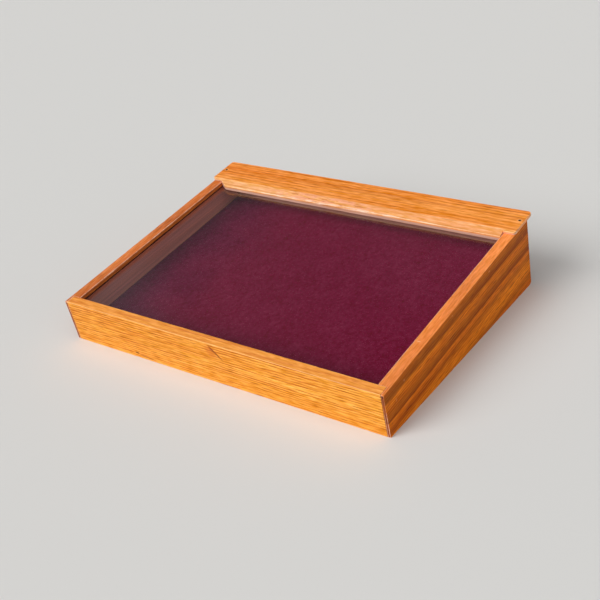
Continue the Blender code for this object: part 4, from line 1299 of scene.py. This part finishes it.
def makeNails(settings):
    dome = domeProfile(settings["radius"], settings["dome"], settings["sunk"])
    putty = domeProfile(settings["puttyRadius"], settings["puttyProud"], settings["sunk"])
    filler = puttyMaterial(settings)
    for word, sign in bothSides:
        head = turned(dome, nailPlace(sign, topBoard), (0, 0, 1))
        makeFitting(f"{word}_ear_nail", [head], nailIron, "case", "nail_iron")
        for label, place in settings["sidePlaces"].items():
            plug = turned(putty, (sign * caseSize["half"], *place), (sign, 0, 0))
            makeFitting(f"{word}_{label}", [plug], filler, "case", "nail_iron")


makeNails(nails)
print("nails made")

# Knob: an oval head on a flared neck, turned about the line out of the door
doorKnob = {
    "height": -0.030,
    "radius": 0.0085,
    "length": 0.016,
    "headHalf": 0.0045,
    "neck": 0.0042,
    "flare": 0.0058,
    "base": 0.0065,
    "baseHeight": 0.002,
    "ease": 0.0004,
}


def makeKnob(settings):
    # The profile: most of an ellipse, a neck that flares with the fourth power, an eased rim and a flat foot
    radius, neck, base, ease = (settings[label] for label in ("radius", "neck", "base", "ease"))
    headHalf, baseHeight = settings["headHalf"], settings["baseHeight"]
    turn = np.linspace(np.pi / 2, -math.acos(neck / radius), 36)
    head = np.stack([radius * np.cos(turn), settings["length"] - headHalf + headHalf * np.sin(turn)], -1)
    share = np.linspace(0, 1, 14)[1:]
    neckHigh = head[-1, 1]
    flared = neck + (settings["flare"] - neck) * share**4
    stem = np.stack([flared, neckHigh + (baseHeight - neckHigh) * share], -1)
    edge = np.linspace(np.pi / 2, 0, 6)
    rim = np.stack([base - ease + ease * np.cos(edge), baseHeight - ease + ease * np.sin(edge)], -1)
    profile = np.concatenate([head, stem, rim, [(base, 0), (0, 0)]])
    shape = turned(profile, (0.0, caseSize["length"], settings["height"]), (0, 1, 0), 64)
    makeFitting("door_knob", [shape], brass, "door", "brass")


makeKnob(doorKnob)
print("knob made")

# Butt hinges: flat leaves in the joint under the door, knuckles by turns on a pin with button ends
hinge = {
    "middle": 0.170,
    "length": 0.038,
    "leafFront": 0.443,
    "leafThick": 0.001,
    "leafGap": 0.0002,  # from the pin's height to each leaf
    "pinUp": 0.4552,
    "pinHigh": -0.0507,
    "knuckle": 0.0028,
    "knuckles": 5,
    "knuckleGap": 0.0005,
    "tabLap": 0.001,  # how far a knuckle's tab runs into its leaf
    "pin": 0.0012,
    "pinPlay": 0.0001,
    "button": 0.0021,
    "buttonHigh": 0.0008,
    "buttonWall": 0.0002,
    "buttonCrown": ((0.0, 0.0), (0.6, 0.0001), (0.92, 0.0003)),  # share of the radius, drop from the top
    "cut": 0.00018,
}


def makeLeaf(word, start, settings, kind, side, body, first):
    # A plate, and on every second place along the pin a tab and a rod with cut ends
    pinUp, pinHigh, leafBack = settings["pinUp"], settings["pinHigh"], caseSize["length"]
    cut, radius, count = settings["cut"], settings["knuckle"], settings["knuckles"]
    pitch = (settings["length"] + settings["knuckleGap"]) / count
    half = (pitch - settings["knuckleGap"]) / 2
    upper = [(0, half), (radius - cut, half), (radius, half - cut)]
    rod = [*upper, *[(reach, -place) for reach, place in upper[::-1]]]
    near = pinHigh + side * settings["leafGap"]
    low, high = sorted((near, near + side * settings["leafThick"]))
    shapes = [plate((start, settings["leafFront"], low), (start + settings["length"], leafBack, high), cut)]
    for slot in range(first, count, 2):
        middle = start + slot * pitch + half
        tabStart = (middle - half, leafBack - settings["tabLap"], low)
        shapes.append(plate(tabStart, (middle + half, pinUp, high), cut))
        shapes.append(turned(rod, (middle, pinUp, pinHigh), (1, 0, 0), 40))
    makeFitting(f"{word}_hinge_{kind}_leaf", shapes, brass, body, "brass")


def makePin(word, middle, settings):
    # A thin rod between two button ends, the same both ways from its middle
    button = settings["button"]
    reach = settings["length"] / 2 + settings["pinPlay"]
    high = reach + settings["buttonHigh"]
    crown = [(button * share, high - drop) for share, drop in settings["buttonCrown"]]
    wall = [(button, reach + settings["buttonWall"]), (button, reach), (settings["pin"], reach)]
    profile = [*crown, *wall, *[(radius, -place) for radius, place in (crown + wall)[::-1]]]
    shape = turned(profile, (middle, settings["pinUp"], settings["pinHigh"]), (1, 0, 0))
    makeFitting(f"{word}_hinge_pin", [shape], brass, "case", "brass")


for word, sign in bothSides:
    hingeStart = sign * hinge["middle"] - hinge["length"] / 2
    makeLeaf(word, hingeStart, hinge, "rail", -1, "case", 0)
    makeLeaf(word, hingeStart, hinge, "door", 1, "door", 1)
    makePin(word, sign * hinge["middle"], hinge)
print("hinges made")

# Screws: slotted heads on pointed shanks, flush or standing proud
screws = {
    "shank": 0.0012,
    "shankTop": -6e-4,
    "point": 0.002,
    "slotWide": 0.0008,
    "spins": {"seed": 40, "count": 40},  # which way each slot points
    "flat": {
        "radius": 0.0025, "rim": 0.0002, "rise": 0.00005, "drop": 0.0023, "slotDeep": 0.0007, "proud": 0.0,
    },
    "pan": {
        "radius": 0.0033, "rim": 0.00085, "rise": 0.00085, "drop": 0.0, "slotDeep": 0.0009, "proud": 0.00085,
    },
    "hingeRow": 0.4475,  # up the slope
    "hingeApart": 0.024,
    "hingeLength": 0.011,
    "knob": {"length": 0.0233, "place": (0.0, 0.4377, -0.030)},
    "strike": {"length": 0.009, "place": (0.228, 0.4365, -0.0304)},
    "catch": {"length": 0.0178, "middle": 0.228, "apart": 0.027, "place": (0.43055, -0.0341)},
    "cleat": {"length": 0.020, "height": -0.0648},
    "sideCleat": {"across": 0.2737, "up": {"front": 0.0778, "back": 0.3727}},
    "frontCleat": {"across": 0.2134, "up": 0.0298},
}


def slottedHead(head, slotWide, middle, axis, spin, apart=1e-6, thinnest=1e-5):
    # Chords of a disc, each a loop over a low dome and back along a cone, with the middle ones sunk as a slot
    radius, half = head["radius"], slotWide / 2
    turn = np.linspace(-np.pi / 2, np.pi / 2, 19)
    walls = np.array([-half - apart, apart - half, half - apart, half + apart])
    chord = np.sort(np.concatenate([radius * np.sin(turn), walls]))[:, None]
    along = np.sqrt(np.maximum(radius**2 - chord**2, 0)) * np.linspace(-1, 1, 11)
    reach = np.hypot(chord, along) / radius
    under = -head["rim"] - head["drop"] * (1 - reach)
    over = head["rise"] * (1 - reach**2)
    over = np.where(np.abs(chord) < half, np.maximum(over - head["slotDeep"], under + thinnest), over)
    along = np.concatenate([along, along[:, ::-1]], 1)
    height = np.concatenate([over, under[:, ::-1]], 1)
    axis = np.asarray(axis, float)
    side = np.roll(axis, 1)
    slotWay = math.cos(spin) * side + math.sin(spin) * np.cross(axis, side)
    points = chord[..., None] * np.cross(axis, slotWay) + along[..., None] * slotWay
    points = points + np.asarray(middle) + (height[..., None] + head["proud"]) * axis
    return points, ringFaces(*height.shape)


def screwShapes(settings, kind, length, place, axis, spin):
    # The head, and a shank turned from a straight side and a point
    shank, top = settings["shank"], settings["shankTop"]
    profile = [(0, top), (shank, top), (shank, settings["point"] - length), (0, -length)]
    head = slottedHead(settings[kind], settings["slotWide"], place, axis, spin)
    return [head, turned(profile, place, axis, 16)]


def hingeScrews(settings):  # node, kind, length, place, way out of the head, body
    length, row, half = settings["hingeLength"], settings["hingeRow"], settings["hingeApart"] / 2
    for word, sign in bothSides:
        for leaf, side, body in (("rail", -1, "case"), ("door", 1, "door")):
            high = hinge["pinHigh"] + side * hinge["leafGap"]
            for end, way in ((1, -1), (2, 1)):
                place = (sign * hinge["middle"] + way * half, row, high)
                yield f"{word}_hinge_{leaf}_screw_{end}", "flat", length, place, (0, 0, -side), body


def steelScrews(settings):  # the same values
    knob, strike, catch = settings["knob"], settings["strike"], settings["catch"]
    cleat, sideCleat, frontCleat = settings["cleat"], settings["sideCleat"], settings["frontCleat"]
    length, height = cleat["length"], cleat["height"]
    yield "knob_screw", "pan", knob["length"], knob["place"], (0, -1, 0), "door"
    yield "strike_screw", "flat", strike["length"], strike["place"], (0, -1, 0), "door"
    for word, sign in bothSides:
        place = (catch["middle"] + sign * catch["apart"] / 2, *catch["place"])
        yield f"catch_screw_{word}", "pan", catch["length"], place, (0, 0, -1), "case"
    for word, sign in bothSides:
        for end, up in sideCleat["up"].items():
            place = (sign * sideCleat["across"], up, height)
            yield f"{word}_cleat_screw_{end}", "flat", length, place, (-sign, 0, 0), "case"
    for word, sign in bothSides:
        place = (sign * frontCleat["across"], frontCleat["up"], height)
        yield f"front_cleat_screw_{word}", "flat", length, place, (0, 1, 0), "case"


def makeScrews(settings):
    drawn = settings["spins"]
    spins = np.random.default_rng(drawn["seed"]).uniform(0, np.pi, drawn["count"]).tolist()
    for listed, metal, slotName in ((hingeScrews, brass, "brass"), (steelScrews, steel, "steel")):
        for node, kind, length, place, axis, body in listed(settings):
            shapes = screwShapes(settings, kind, length, place, axis, spins.pop())
            makeFitting(node, shapes, metal, body, slotName)


makeScrews(screws)
print("screws made")

# Catch, its strike and the rail that stops the door: plates with cut edges
plainEdge = {"Amount": 0.0}
stopRailGrain = {"Seed": 23.0, **backDoor["grain"]}
stopRailOak = woodMaterial("stopRailOak", stopRailGrain, plainEdge, cadTurn=0.0)
catchParts = {  # node: low corner, high corner and cut
    "strike_plate": ((0.218, 0.4365, -0.0343), (0.238, 0.4377, -0.0265), 0.0003),
    "catch_case": ((0.210, 0.4253, -0.0338), (0.246, 0.4358, -0.0243), 0.0008),
    "catch_magnet": ((0.221, 0.4292, -0.03155), (0.235, 0.4362, -0.02655), 0.0003),
    "rear_stop_rail": ((-0.2857, 0.4246, -0.024), (0.2857, 0.4376, -0.008), 0.0006),
}
catchFinish = {  # node: material, body and slot
    "strike_plate": (steel, "door", "steel"),
    "catch_case": (catchPlastic, "case", "catch_plastic"),
    "catch_magnet": (magnetIron, "case", "magnet"),
    "rear_stop_rail": (stopRailOak, "case", "oak"),
}
for node, corners in catchParts.items():
    makeFitting(node, [plate(*corners)], *catchFinish[node])
print("catch and stop rail made")

# Pieces whose CAD shape is kept: the glass, which lets lamp light through to the velvet, and the inner wood
pineGrain = {
    "Ring": 0.009, "FineRing": 0.003, "Wander": 0.006, "Lines": 0.5, "FineLines": 0.2, "Bands": 0.5,
    "Pores": 0.1, "Heart": (0, 0.05, -0.08), "Pale": tone(232, 194, 138), "Warm": tone(220, 172, 110),
    "Dark": tone(176, 118, 62),
}
plyGrain = {
    "Ring": 0.03, "FineRing": 0.006, "Wander": 0.03, "Lines": 0.3, "FineLines": 0.3, "Bands": 0.6,
    "Pores": 0.3, "Heart": (0, 0.1, -0.4), "Pale": tone(218, 184, 134), "Warm": tone(204, 164, 112),
    "Dark": tone(160, 118, 74),
}
innerWood = {  # material: grain, seed, turn of the grain, roughness, nodes
    "frontCleatPine": (pineGrain, 27.0, 0.0, 0.6, ["front_cleat"]),
    "sideCleatPine": (pineGrain, 29.0, math.pi / 2, 0.6, ["left_cleat", "right_cleat"]),
    "panelPly": (plyGrain, 33.0, 0.0, 0.65, ["display_panel"]),
}
windowGlass = {
    "Base Color": (0.96, 0.985, 0.97, 1), "Roughness": 0.02, "IOR": 1.5, "Transmission Weight": 1.0,
}


def glassMaterial(settings):
    material, tree, shader = newMaterial("windowGlass")
    setSockets(shader, settings)
    isShadow = newNode(tree, "LightPath").outputs["Is Shadow Ray"]
    clear = newNode(tree, "BsdfTransparent").outputs[0]
    pane = tree.nodes["Principled BSDF"].outputs[0]
    mixed = newNode(tree, "MixShader", (isShadow, pane, clear))
    feed(tree, tree.nodes["Material Output"].inputs["Surface"], mixed.outputs[0])
    return material


def dress(material, *nodes):
    for name in nodes:
        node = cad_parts[name]
        node.data.materials.clear()
        node.data.materials.append(material)


dress(glassMaterial(windowGlass), "glass_pane")
for name, (grain, seed, turn, roughness, nodes) in innerWood.items():
    wood = woodMaterial(name, {"Seed": seed, **grain}, plainEdge, roughness=roughness, cadTurn=turn)
    dress(wood, *nodes)
print("glass and inner wood set")

# Studio: pale floor, pale horizon under a dim ceiling, soft lamps
studio = {
    "floor": {"Base Color": tone(222, 221, 218), "Roughness": 1.0, "Specular IOR Level": 0.0},
    "floorHalf": 60.0,
    "horizon": (0.55, 0.55, 0.55, 1),
    "ceiling": (0.03, 0.03, 0.033, 1),
    "ceilingRise": (0.05, 0.45),
    "far": tone(213, 211, 207),  # so that no line shows at the floor's end
    "farRise": (0.0, 0.08),
    "glows": [  # what the glass mirrors
        {"from": (-0.94, 0.16, 0.30), "reach": 0.6, "level": (0.15, 0.145, 0.15, 1)},
        {"from": (-0.70, 0.42, 0.578), "reach": 0.995, "level": (0.07, 0.07, 0.075, 1)},
        {"from": (-0.40, 0.69, 0.60), "reach": 0.985, "level": (0.05, 0.05, 0.06, 1)},
    ],
    "lamps": [
        {"name": "keyLamp", "from": (-0.36, -0.75, 0.60), "soft": 40.0, "level": 0.70},
        {"name": "topLamp", "from": (0.15, -0.45, 0.88), "soft": 80.0, "level": 0.42},
        {"name": "fillLamp", "from": (0.92, -0.30, 0.25), "soft": 60.0, "level": 0.13},
    ],
    "lampFar": 3.0,
}


def unit(vector):
    return np.asarray(vector, float) / np.linalg.norm(vector)


def makeFloor(settings):
    wide = settings["floorHalf"]
    corners = [(-wide, -wide, 0), (wide, -wide, 0), (wide, wide, 0), (-wide, wide, 0)]
    mesh = bpy.data.meshes.new("paleFloor")
    mesh.from_pydata(corners, [], [(0, 1, 2, 3)])
    material, _, shader = newMaterial("paleFloor")
    setSockets(shader, settings["floor"])
    mesh.materials.append(material)
    floor = bpy.data.objects.new("paleFloor", mesh)
    bpy.context.scene.collection.objects.link(floor)


def makeRoom(settings):
    world = bpy.data.worlds.new("studioRoom")
    world.use_nodes = True
    bpy.context.scene.world = world
    tree = world.node_tree
    ray = newNode(tree, "TexCoord").outputs["Generated"]
    height = splitXyz(tree, ray)[2]
    rise = ranged(tree, height, *settings["ceilingRise"])
    room = blendTone(tree, rise, settings["horizon"], settings["ceiling"])
    room = blendTone(tree, ranged(tree, height, *settings["farRise"]), settings["far"], room)
    for glow in settings["glows"]:
        facing = vectorCalc(tree, "DOT_PRODUCT", ray, unit(glow["from"]).tolist())
        room = blendTone(tree, ranged(tree, facing, glow["reach"], 1.0), room, glow["level"], "ADD")
    feed(tree, tree.nodes["Background"].inputs["Color"], room)


def makeLamps(settings):
    for lamp in settings["lamps"]:
        data = bpy.data.lights.new(lamp["name"], "SUN")
        data.energy = lamp["level"] * math.pi  # a facing white surface then shows level
        data.angle = math.radians(lamp["soft"])
        obj = bpy.data.objects.new(lamp["name"], data)
        obj.visible_glossy = obj.visible_transmission = False  # no lamp discs in the glass
        toward = unit(lamp["from"])
        side = unit(np.cross((0, 0, 1), toward))
        aim(obj, side, np.cross(toward, side), toward * settings["lampFar"])


makeFloor(studio)
makeRoom(studio)
makeLamps(studio)
bpy.context.scene.view_settings.view_transform = "Standard"
print("studio lit")
